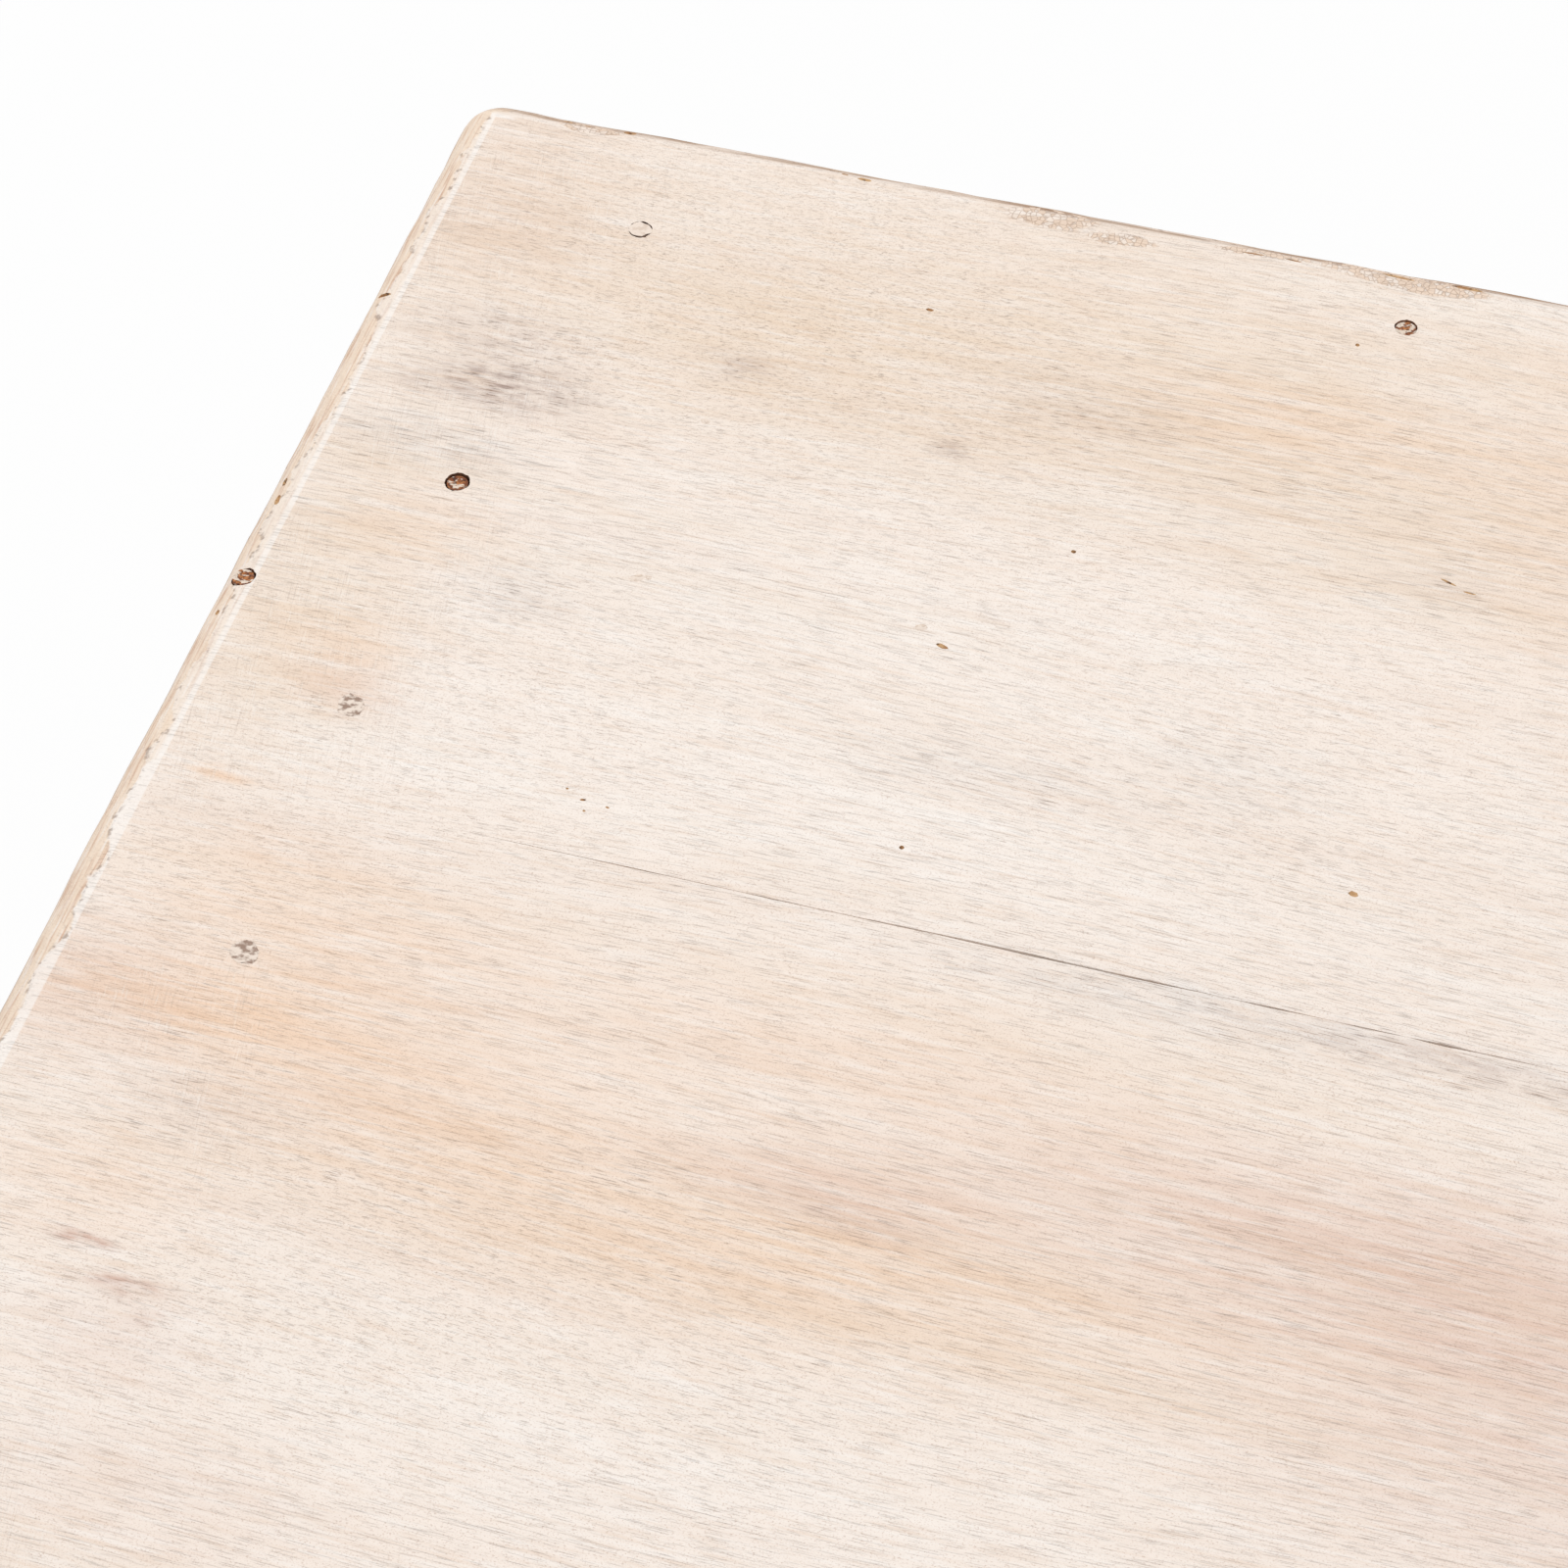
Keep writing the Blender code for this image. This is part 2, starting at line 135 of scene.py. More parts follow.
class Graph:
    """A node tree in the making, grown a node at a time."""

    def __init__(self, tree: bpy.types.NodeTree) -> None:
        """Empty the tree."""
        self.tree = tree
        tree.nodes.clear()

    @classmethod
    def of_material(cls, name: str) -> "Graph":
        """Start the tree of a new material."""
        graph = cls.of_block(bpy.data.materials.new(name))
        return graph

    @classmethod
    def of_block(cls, block: bpy.types.Material | bpy.types.World) -> "Graph":
        """Start the tree of a material or a world."""
        block.use_nodes = True
        graph = cls(block.node_tree)
        graph.block = block
        return graph

    def add(
        self,
        kind: str,
        links: dict[int | str, Link] | None = None,
        out: int | str = 0,
        **settings: object,
    ) -> Socket | None:
        """Add a node with its settings and links.

        Args:
            kind: Blender's name for the node's type.
            links: what each input takes, either another node's output or a constant.
            out: the output to hand back.
            settings: the node's own properties.

        Returns:
            The chosen output, or None for a node that has none.
        """
        node = self.tree.nodes.new(kind)
        for key, value in settings.items():
            setattr(node, key, value)
        for key, value in (links or {}).items():
            if isinstance(value, Socket):
                self.tree.links.new(value, node.inputs[key])
            else:
                node.inputs[key].default_value = value
        return node.outputs[out] if len(node.outputs) else None

    def place(self) -> Socket:
        """Find the place on the box, in millimetres."""
        metres = self.add("ShaderNodeTexCoord", out="Object")
        return self.add("ShaderNodeVectorMath", {0: metres, "Scale": 1 / MM}, operation="SCALE")

    def figure(self, vector: Socket, figure: Figure) -> Socket:
        """Lay a random figure.

        Args:
            vector: the place, in millimetres.
            figure: the figure's size and spread.

        Returns:
            The figure's value at the place.
        """
        scale = tuple(1 / size for size in figure.size)
        scaled = self.add("ShaderNodeVectorMath", {0: vector, 1: scale}, operation="MULTIPLY")
        raw = self.add("ShaderNodeTexNoise", {"Vector": scaled, "Scale": 1.0, "Detail": figure.detail})
        limits = {"From Min": figure.limits[0], "From Max": figure.limits[1]}
        reach = {"To Min": figure.reach[0], "To Max": figure.reach[1]}
        links = {"Value": raw, **limits, **reach}
        return self.add("ShaderNodeMapRange", links, interpolation_type="SMOOTHSTEP")

    def veil(self, under: Link, veil: Veil, vector: Socket, share: Link = 1.0) -> Socket:
        """Lay a veil over a colour.

        Args:
            under: the colour so far.
            veil: what is laid over it.
            vector: the place, in millimetres.
            share: how much of the veil is left.

        Returns:
            The new colour.
        """
        shown = self.figure(vector, veil.figure)
        left = self.add("ShaderNodeMath", {0: shown, 1: share}, operation="MULTIPLY")
        links = {FACTOR: left, UNDER: under, OVER: linear(veil.colour)}
        return self.add("ShaderNodeMix", links, MIXED, data_type="RGBA")

    def surface(self, colour: Link, height: Socket, depth: float, rough: Link) -> bpy.types.Material:
        """Close a material of one matt surface.

        Args:
            colour: its colour.
            height: its relief, from 0 to 1.
            depth: the relief's real depth, in millimetres.
            rough: its roughness.

        Returns:
            The finished material.
        """
        bump = self.add("ShaderNodeBump", {"Height": height, "Strength": 1.0, "Distance": depth * MM})
        links = {"Base Color": colour, "Roughness": rough, "Normal": bump, "IOR": 1.5}
        shader = self.add("ShaderNodeBsdfPrincipled", links)
        self.add("ShaderNodeOutputMaterial", {"Surface": shader})
        return self.block


class Stain(Enum):
    """The marks that years of use have left in the wash, by colour."""

    WHITE = "#FFFAF5"
    YELLOW = "#E0BE94"
    OCHRE = "#F0B880"
    PINK = "#D0987A"
    MAUVE = "#8C7069"
    GREY = "#B2B2B4"
    BROWN = "#AE6236"

    @property
    def soils(self) -> float:
        """How far the mark darkens the pores: dirt lodges in them, and thin wash leaves them open."""
        shares = {Stain.MAUVE: 1.0, Stain.GREY: 1.0, Stain.BROWN: 0.3, Stain.YELLOW: 0.2}
        return shares.get(self, 0.0)

    @property
    def blotchy(self) -> bool:
        """Whether the mark is dirt, which lies in blotches."""
        return self in (Stain.MAUVE, Stain.GREY, Stain.BROWN)


class Depth(Enum):
    """How far a stain hides what is under it."""

    FAINT = 0.12
    SOFT = 0.22
    CLEAR = 0.34
    STRONG = 0.55


@dataclass(frozen=True)
class Mark:
    """A soft-edged stain: its colour, its middle and half-sizes in millimetres, and its depth."""

    stain: Stain
    middle: Triple
    reach: Triple
    depth: Depth


class Grain(Enum):
    """The way a board's grain runs, as the turn about Z that brings it to the pattern's X."""

    ALONG_BOX = 0.0
    ACROSS_BOX = math.pi / 2


@dataclass(frozen=True)
class LimedPine:
    """Pine brushed with thin lime wash and rubbed back by use.

    The wash is matt and chalky. It is cream in soft clouds, sinks in over the open grain so that short
    grey-brown pores show through, and has worn off the rims down to ochre wood.
    """

    name: str
    grain: Grain
    half_box: Triple
    marks: tuple[Mark, ...] = ()
    flakes: tuple[Mark, ...] = ()
    wash: Hex = "#F9ECE1"
    clouds: tuple[Veil, ...] = (
        Veil("#E6CDB2", Figure((130.0, 14.0, 14.0), 2.0, (0.46, 0.76), (0.0, 0.22))),
        Veil("#DDBFAA", Figure((90.0, 8.0, 8.0), 2.0, (0.50, 0.78), (0.0, 0.18))),
        Veil("#FFFBF6", Figure((100.0, 9.0, 9.0), 2.0, (0.50, 0.76), (0.0, 0.30))),
    )
    stain_streaks: Figure = Figure((45.0, 1.7, 1.7), 3.0, (0.25, 0.70), (0.45, 1.0))
    soil_blotches: Figure = Figure((3.2, 1.3, 1.3), 4.0, (0.32, 0.66), (0.35, 1.5))
    dabs: tuple[Veil, ...] = (
        Veil("#D8AE86", Figure((9.0, 0.7, 0.7), 2.0, (0.48, 0.76), (0.0, 0.20))),
        Veil("#FFFDFA", Figure((12.0, 0.8, 0.8), 2.0, (0.48, 0.74), (0.0, 0.30))),
        Veil("#A88268", Figure((0.3, 0.17, 0.2), 1.0, (0.52, 0.80), (0.0, 0.42))),
    )
    pore: Hex = "#84604A"
    pores: Figure = Figure((5.0, 0.1, 0.1), 1.0, (0.60, 0.76))
    pore_crowd: Figure = Figure((26.0, 6.0, 6.0), 2.0, (0.38, 0.70), (0.03, 0.36))
    pore_soil: float = 2.2
    rubbed_turn: float = -10.0
    rubbed: tuple[Veil, ...] = (
        Veil("#A48E80", Figure((0.16, 5.0, 5.0), 1.0, (0.56, 0.78), (0.0, 0.24))),
        Veil("#FFFBF5", Figure((0.24, 4.0, 4.0), 1.0, (0.56, 0.78), (0.0, 0.30))),
    )
    rubbed_from: float = 48.0
    rubbed_to: float = 30.0
    wear_slow: Figure = Figure((38.0, 38.0, 38.0), 1.0, (0.30, 0.70), (1.5, 2.7))
    wear_quick: Figure = Figure((6.0, 6.0, 6.0), 4.0, (0.25, 0.75), (-1.0, 1.0))
    wear_at_ends: float = 1.7
    # The bright lip is wash with a painted highlight, laid on the end rims only
    lip_highlight: Hex = "#FFFAF5"
    lip_highlight_inner: Pair = (5.6, 5.9)
    lip_outer: Pair = (3.6, 5.0)
    lip_highlight_strength: float = 0.6
    thin_wash: float = 0.5
    bare: Hex = "#F4DFCA"
    bare_streaks: tuple[Veil, ...] = (
        Veil("#CDA184", Figure((9.0, 0.45, 1.0), 2.0, (0.46, 0.72), (0.0, 0.7))),
        Veil("#FBF1E8", Figure((6.0, 0.4, 1.0), 2.0, (0.50, 0.74), (0.0, 0.8))),
    )
    # Painted shade, with some grime: a darker band on the steep part of every rim
    grime_and_shade: Hex = "#8E7C72"
    grime_and_shade_level: float = 3.7
    grime_and_shade_reach: Pair = (0.2, 1.7)
    # Painted shade, with some dirt: a brown band high on the rounding of the back and front rims
    crest_dirt_and_shade: Hex = "#A07C5E"
    crest_dirt_and_shade_reach: Pair = (3.1, 4.4)
    rim_runs: Figure = Figure((17.0, 1.5, 4.0), 3.0, (0.36, 0.62), (0.25, 0.95))
    dirt: Hex = "#7A5A44"
    dirt_specks: Figure = Figure((1.1, 1.1, 0.8), 2.0, (0.50, 0.66), (0.0, 0.55))
    flake_size: float = 0.9
    flake_bare: Hex = "#EDD6C2"
    flake_crack: Hex = "#96745A"
    ridges: Figure = Figure((14.0, 0.6, 0.6), 2.0, (0.25, 0.75))
    relief: float = 0.05
    sheen: Figure = Figure((9.0, 1.2, 1.2), 1.0, (0.2, 0.8), (0.62, 0.82))

    def material(self) -> bpy.types.Material:
        """Make the material and hand it back."""
        graph = Graph.of_material(self.name)
        spot = graph.place()
        fibre = self.swaying(graph, spot)
        colour = linear(self.wash)
        for cloud in self.clouds:
            colour = graph.veil(colour, cloud, fibre)
        ragged = self.ragged(graph, spot)
        colour, soil = self.stained(graph, colour, ragged, fibre)
        for dab in self.dabs:
            colour = graph.veil(colour, dab, fibre)
        colour, pores = self.open_grain(graph, colour, fibre, soil)
        colour = self.cross_rubbed(graph, colour, spot)
        colour = self.worn_rim_and_painted_light(graph, colour, spot)
        if self.flakes:
            colour = self.flaked(graph, colour, ragged, spot)
        ridges = graph.figure(fibre, self.ridges)
        sunk = graph.add("ShaderNodeMath", {0: pores, 1: -1.0, 2: ridges}, operation="MULTIPLY_ADD")
        return graph.surface(colour, sunk, self.relief, graph.figure(fibre, self.sheen))

    def swaying(self, graph: Graph, spot: Socket) -> Socket:
        """Turn places on the box into the board's own fibre lines, which sway gently along it.

        Args:
            graph: the material in the making.
            spot: the place on the box.

        Returns:
            The place along and across the fibres.
        """
        turn = (0.0, 0.0, -self.grain.value)
        turned = graph.add("ShaderNodeMapping", {"Vector": spot, "Rotation": turn})
        wide = graph.add("ShaderNodeMapping", {"Vector": turned, "Scale": (1 / 170, 1 / 60, 1 / 60)})
        sway = graph.add("ShaderNodeTexNoise", {"Vector": wide, "Scale": 1.0, "Detail": 0.0}, "Color")
        links = {0: sway, 1: (0.0, 14.0, 14.0), 2: turned}
        return graph.add("ShaderNodeVectorMath", links, operation="MULTIPLY_ADD")

    def ragged(self, graph: Graph, spot: Socket) -> Socket:
        """Shift places to and fro, so that what is laid by them gets a ragged outline."""
        shrunk = graph.add("ShaderNodeMapping", {"Vector": spot, "Scale": (1 / 16, 1 / 7, 1 / 7)})
        shake = graph.add("ShaderNodeTexNoise", {"Vector": shrunk, "Scale": 1.0, "Detail": 4.0}, "Color")
        reach = (16.0, 5.0, 5.0) if self.grain is Grain.ALONG_BOX else (5.0, 16.0, 5.0)
        links = {0: shake, 1: reach, 2: tuple(-part / 2 for part in reach)}
        shift = graph.add("ShaderNodeVectorMath", links, operation="MULTIPLY_ADD")
        return graph.add("ShaderNodeVectorMath", {0: spot, 1: shift}, operation="ADD")

    def faded(self, graph: Graph, mark: Mark, ragged: Socket, strength: float) -> Socket:
        """Fade a mark out from its middle."""
        links = {"Vector": ragged, "Location": mark.middle, "Scale": mark.reach}
        local = graph.add("ShaderNodeMapping", links, vector_type="TEXTURE")
        ball = graph.add("ShaderNodeTexGradient", {"Vector": local}, out=1, gradient_type="SPHERICAL")
        links = {"Value": ball, "To Max": strength}
        return graph.add("ShaderNodeMapRange", links, interpolation_type="SMOOTHSTEP")

    def stained(
        self, graph: Graph, colour: Link, ragged: Socket, fibre: Socket
    ) -> tuple[Socket, Link]:
        """Lay the stains over the wash, streaked along the grain.

        Args:
            graph: the material in the making.
            colour: the colour so far.
            ragged: the place on the box, shifted to and fro.
            fibre: the place along and across the fibres.

        Returns:
            The new colour, and how much dirt lies in the grain.
        """
        blotches = graph.figure(fibre, self.soil_blotches)
        stained = colour
        soil = 0.0
        for mark in self.marks:
            shown = self.faded(graph, mark, ragged, mark.depth.value)
            if mark.stain.blotchy:
                shown = graph.add("ShaderNodeMath", {0: shown, 1: blotches}, operation="MULTIPLY")
            if mark.stain.soils > 0.0:
                links = {0: shown, 1: mark.stain.soils, 2: soil}
                soil = graph.add("ShaderNodeMath", links, operation="MULTIPLY_ADD")
            links = {FACTOR: shown, UNDER: stained, OVER: linear(mark.stain.value)}
            stained = graph.add("ShaderNodeMix", links, MIXED, data_type="RGBA")
        streaks = graph.figure(fibre, self.stain_streaks)
        links = {FACTOR: streaks, UNDER: colour, OVER: stained}
        return graph.add("ShaderNodeMix", links, MIXED, data_type="RGBA"), soil

    def open_grain(
        self, graph: Graph, colour: Socket, fibre: Socket, soil: Link
    ) -> tuple[Socket, Socket]:
        """Show the pores as short grey-brown dashes, darker where dirt has lodged in them.

        Args:
            graph: the material in the making.
            colour: the colour so far.
            fibre: the place along and across the fibres.
            soil: how much dirt lies in the grain.

        Returns:
            The new colour, and where the pores are.
        """
        pores = graph.figure(fibre, self.pores)
        crowd = graph.figure(fibre, self.pore_crowd)
        links = {0: soil, 1: self.pore_soil, 2: crowd}
        dark = graph.add("ShaderNodeMath", links, operation="MULTIPLY_ADD")
        shown = graph.add("ShaderNodeMath", {0: pores, 1: dark}, operation="MULTIPLY")
        links = {FACTOR: shown, UNDER: colour, OVER: linear(self.pore)}
        return graph.add("ShaderNodeMix", links, MIXED, data_type="RGBA"), pores

    def cross_rubbed(self, graph: Graph, colour: Socket, spot: Socket) -> Socket:
        """Scratch the ends of the boards across the box, where they were rubbed down."""
        patches = graph.figure(spot, Figure((18.0, 24.0, 24.0), 1.0, (0.40, 0.62)))
        folded = graph.add("ShaderNodeVectorMath", {0: spot}, operation="ABSOLUTE")
        along = graph.add("ShaderNodeSeparateXYZ", {0: folded}, out="X")
        ends = {
            "From Min": self.half_box[0] - self.rubbed_from,
            "From Max": self.half_box[0] - self.rubbed_to,
        }
        near_end = graph.add(
            "ShaderNodeMapRange", {"Value": along, **ends}, interpolation_type="SMOOTHSTEP"
        )
        share = graph.add("ShaderNodeMath", {0: patches, 1: near_end}, operation="MULTIPLY")
        turn = (0.0, 0.0, math.radians(self.rubbed_turn))
        strokes = graph.add("ShaderNodeMapping", {"Vector": spot, "Rotation": turn})
        for veil in self.rubbed:
            colour = graph.veil(colour, veil, strokes, share)
        return colour

    def depths(self, graph: Graph, spot: Socket) -> tuple[Socket, Socket, Socket]:
        """Measure how far a place is inside the box from the nearer end, side and face."""
        middle = (0.0, 0.0, self.half_box[2])
        centred = graph.add("ShaderNodeVectorMath", {0: spot, 1: middle}, operation="SUBTRACT")
        folded = graph.add("ShaderNodeVectorMath", {0: centred}, operation="ABSOLUTE")
        inside = graph.add("ShaderNodeVectorMath", {0: self.half_box, 1: folded}, operation="SUBTRACT")
        x_in = graph.add("ShaderNodeSeparateXYZ", {0: inside})
        return x_in, x_in.node.outputs["Y"], x_in.node.outputs["Z"]

    def worn_rim_and_painted_light(self, graph: Graph, colour: Socket, spot: Socket) -> Socket:
        """Wear the wash off the box's arrises: a bright lip of wash with a painted highlight, a dirty break line,
        bare wood, and painted shade with some grime and dirt on the rims' steeper parts.

        Args:
            graph: the material in the making.
            colour: the colour so far.
            spot: the place on the box.

        Returns:
            The new colour.
        """
        x_in, y_in, z_in = self.depths(graph, spot)
        # The middle one of the three depths is the distance to the nearest arris
        least = graph.add("ShaderNodeMath", {0: x_in, 1: y_in}, operation="MINIMUM")
        most = graph.add("ShaderNodeMath", {0: x_in, 1: y_in}, operation="MAXIMUM")
        capped = graph.add("ShaderNodeMath", {0: most, 1: z_in}, operation="MINIMUM")
        arris = graph.add("ShaderNodeMath", {0: least, 1: capped}, operation="MAXIMUM")

        slow = graph.figure(spot, self.wear_slow)
        quick = graph.figure(spot, self.wear_quick)
        links = {"Value": x_in, "From Min": 7.0, "From Max": 10.0, "To Min": 1.0, "To Max": 0.0}
        at_end = graph.add("ShaderNodeMapRange", links, interpolation_type="SMOOTHSTEP")
        links = {0: at_end, 1: self.wear_at_ends, 2: slow}
        limit = graph.add("ShaderNodeMath", links, operation="MULTIPLY_ADD")
        uneven = graph.add("ShaderNodeMath", {0: limit, 1: quick}, operation="ADD")
        past = graph.add("ShaderNodeMath", {0: uneven, 1: arris}, operation="SUBTRACT")
        links = {"Value": past, "From Min": -0.25, "From Max": 0.3}
        worn = graph.add("ShaderNodeMapRange", links, interpolation_type="SMOOTHSTEP")

        wood = linear(self.bare)
        along = graph.add("ShaderNodeMath", {0: x_in, 1: y_in}, operation="ADD")
        rim = graph.add("ShaderNodeCombineXYZ", {0: along, 1: arris, 2: z_in})
        for veil in self.bare_streaks:
            wood = graph.veil(wood, veil, rim)

        # Painted highlight on the wash: a brighter band along the crest of the end rims, where they face the
        # light
        links = {"Value": arris, "From Min": self.lip_highlight_inner[0], "From Max": self.lip_highlight_inner[1]}
        links |= {"To Min": self.lip_highlight_strength, "To Max": 0.0}
        inner = graph.add("ShaderNodeMapRange", links, interpolation_type="SMOOTHSTEP")
        lip_highlight = graph.add("ShaderNodeMath", {0: inner, 1: at_end}, operation="MULTIPLY")
        links = {FACTOR: lip_highlight, UNDER: colour, OVER: linear(self.lip_highlight)}
        colour = graph.add("ShaderNodeMix", links, MIXED, data_type="RGBA")
        across = graph.add("ShaderNodeSeparateXYZ", {0: spot}, out="Y")
        links = {"Value": across, "From Min": -1.0, "From Max": 1.0}
        links |= {"To Min": self.lip_outer[0], "To Max": self.lip_outer[1]}
        lip_edge = graph.add("ShaderNodeMapRange", links)
        short = graph.add("ShaderNodeMath", {0: lip_edge, 1: arris}, operation="SUBTRACT")
        links = {"Value": short, "From Min": -0.2, "From Max": 0.5, "To Max": self.thin_wash}
        outside = graph.add("ShaderNodeMapRange", links, interpolation_type="SMOOTHSTEP")
        thin = graph.add("ShaderNodeMath", {0: outside, 1: at_end}, operation="MULTIPLY")
        bared = graph.add("ShaderNodeMath", {0: thin, 1: worn}, operation="MAXIMUM")
        links = {FACTOR: bared, UNDER: colour, OVER: wood}
        colour = graph.add("ShaderNodeMix", links, MIXED, data_type="RGBA")

        # Painted shade, with some grime: darken the steep part of every rim, just below the top face, in runs
        below = graph.add("ShaderNodeMath", {0: z_in, 1: self.grime_and_shade_level}, operation="SUBTRACT")
        off_level = graph.add("ShaderNodeMath", {0: below}, operation="ABSOLUTE")
        links = {"Value": off_level, "From Min": self.grime_and_shade_reach[0], "From Max": self.grime_and_shade_reach[1]}
        links |= {"To Min": 1.0, "To Max": 0.0}
        low_line = graph.add("ShaderNodeMapRange", links, interpolation_type="SMOOTHSTEP")
        runs = graph.figure(rim, self.rim_runs)
        grime_and_shade_share = graph.add("ShaderNodeMath", {0: low_line, 1: runs}, operation="MULTIPLY")
        links = {FACTOR: grime_and_shade_share, UNDER: colour, OVER: linear(self.grime_and_shade)}
        colour = graph.add("ShaderNodeMix", links, MIXED, data_type="RGBA")

        # Painted shade, with some dirt: brown the upper rounding of the back and front rims, where it turns away,
        # in runs
        links = {"Value": y_in, "From Min": self.crest_dirt_and_shade_reach[0], "From Max": self.crest_dirt_and_shade_reach[1]}
        links |= {"To Min": 1.0, "To Max": 0.0}
        long_rim = graph.add("ShaderNodeMapRange", links, interpolation_type="SMOOTHSTEP")
        links = {"Value": z_in, "From Min": 2.5, "From Max": 4.5, "To Min": 1.0, "To Max": 0.0}
        upper = graph.add("ShaderNodeMapRange", links, interpolation_type="SMOOTHSTEP")
        crest_dirt_and_shade = graph.add("ShaderNodeMath", {0: long_rim, 1: upper}, operation="MULTIPLY")
        crest_dirt_and_shade_share = graph.add("ShaderNodeMath", {0: crest_dirt_and_shade, 1: runs}, operation="MULTIPLY")
        links = {FACTOR: crest_dirt_and_shade_share, UNDER: colour, OVER: linear(self.crest_dirt_and_shade)}
        colour = graph.add("ShaderNodeMix", links, MIXED, data_type="RGBA")

        off_line = graph.add("ShaderNodeMath", {0: past}, operation="ABSOLUTE")
        links = {"Value": off_line, "From Min": 0.1, "From Max": 0.6, "To Min": 1.0, "To Max": 0.0}
        on_line = graph.add("ShaderNodeMapRange", links, interpolation_type="SMOOTHSTEP")
        specks = graph.figure(spot, self.dirt_specks)
        soiled = graph.add("ShaderNodeMath", {0: on_line, 1: specks}, operation="MULTIPLY")
        links = {FACTOR: soiled, UNDER: colour, OVER: linear(self.dirt)}
        return graph.add("ShaderNodeMix", links, MIXED, data_type="RGBA")

    def flaked(self, graph: Graph, colour: Socket, ragged: Socket, spot: Socket) -> Socket:
        """Break the wash into small flakes where it has lost its hold, with dirt in the cracks."""
        loose = 0.0
        for flake in self.flakes:
            mask = self.faded(graph, flake, ragged, 1.0)
            loose = graph.add("ShaderNodeMath", {0: loose, 1: mask}, operation="MAXIMUM")
        links = {"Value": loose, "From Min": 0.25, "From Max": 0.45}
        area = graph.add("ShaderNodeMapRange", links, interpolation_type="SMOOTHSTEP")
        links = {"Vector": spot, "Scale": 1 / self.flake_size}
        cells = graph.add("ShaderNodeTexVoronoi", links, out="Color")
        edges = graph.add("ShaderNodeTexVoronoi", links, feature="DISTANCE_TO_EDGE")
        pick = graph.add("ShaderNodeSeparateColor", {0: cells})
        links = {0: pick, 1: 0.45}
        gone = graph.add("ShaderNodeMath", links, operation="GREATER_THAN")
        bared = graph.add("ShaderNodeMath", {0: gone, 1: area}, operation="MULTIPLY")
        links = {FACTOR: bared, UNDER: colour, OVER: linear(self.flake_bare)}
        colour = graph.add("ShaderNodeMix", links, MIXED, data_type="RGBA")
        links = {"Value": edges, "From Min": 0.03, "From Max": 0.12, "To Min": 0.45, "To Max": 0.0}
        crack = graph.add("ShaderNodeMapRange", links, interpolation_type="SMOOTHSTEP")
        shown = graph.add("ShaderNodeMath", {0: crack, 1: area}, operation="MULTIPLY")
        links = {FACTOR: shown, UNDER: colour, OVER: linear(self.flake_crack)}
        return graph.add("ShaderNodeMix", links, MIXED, data_type="RGBA")


@dataclass(frozen=True)
class SawnPine:
    """Bare pine as the saw left it: warm growth bands, brown latewood lines and a dry, furry surface."""

    name: str
    grain: Grain
    pale: Hex = "#DDBC8C"
    bands: Veil = Veil("#B98A55", Figure((180.0, 5.0, 5.0), 3.0, (0.35, 0.68)))
    latewood: Veil = Veil("#8C6238", Figure((120.0, 1.4, 1.4), 2.0, (0.52, 0.72), (0.0, 0.6)))
    saw_marks: Veil = Veil("#EBD3AC", Figure((1.6, 30.0, 30.0), 2.0, (0.50, 0.72), (0.0, 0.25)))
    fur: Figure = Figure((6.0, 0.5, 0.5), 2.0, (0.25, 0.75))
    relief: float = 0.15
    rough: float = 0.8

    def material(self) -> bpy.types.Material:
        """Make the material and hand it back."""
        graph = Graph.of_material(self.name)
        turn = (0.0, 0.0, -self.grain.value)
        fibre = graph.add("ShaderNodeMapping", {"Vector": graph.place(), "Rotation": turn})
        colour = linear(self.pale)
        for veil in (self.bands, self.latewood, self.saw_marks):
            colour = graph.veil(colour, veil, fibre)
        return graph.surface(colour, graph.figure(fibre, self.fur), self.relief, self.rough)


@dataclass(frozen=True)
class ChippedPine:
    """Pine where a chip has broken away: torn fibres, ochre to rust brown, dirtier in the hollows."""

    name: str
    fresh: Hex
    old: Hex
    dirt: Hex
    relief: float = 0.15
    rough: float = 0.85

    def material(self) -> bpy.types.Material:
        """Make the material and hand it back."""
        graph = Graph.of_material(self.name)
        spot = graph.place()
        soil = Figure((0.9, 0.5, 0.5), 2.0, (0.50, 0.70), (0.0, 0.85))
        aged = Veil(self.old, Figure((3.0, 1.2, 1.2), 2.0, (0.35, 0.65)))
        colour = graph.veil(linear(self.fresh), aged, spot)
        colour = graph.veil(colour, Veil(self.dirt, soil), spot)
        return graph.surface(colour, graph.figure(spot, soil), self.relief, self.rough)


@dataclass(frozen=True)
class RustedSteel:
    """Drawn steel wire nails gone to rust, with lime wash smeared over the heads.

    Rust is matt and crusty, dark brown with orange bloom. Whatever wash is left on it is pale and thin.
    """

    name: str
    washed: Pair
    steel: Hex = "#7E4526"
    bloom: Veil = Veil("#BE7A44", Figure((0.8, 0.8, 0.8), 2.0, (0.40, 0.62)))
    crust: Veil = Veil("#402720", Figure((0.45, 0.45, 0.45), 1.0, (0.52, 0.68), (0.0, 0.85)))
    wash: Hex = "#EFDFCE"
    relief: float = 0.1
    rough: float = 0.8

    def material(self) -> bpy.types.Material:
        """Make the material and hand it back."""
        graph = Graph.of_material(self.name)
        spot = graph.place()
        colour = graph.veil(linear(self.steel), self.bloom, spot)
        colour = graph.veil(colour, self.crust, spot)
        smear = Veil(self.wash, Figure((1.2, 0.8, 0.8), 2.0, self.washed, (0.0, 0.95)))
        colour = graph.veil(colour, smear, spot)
        return graph.surface(colour, graph.figure(spot, self.crust.figure), self.relief, self.rough)


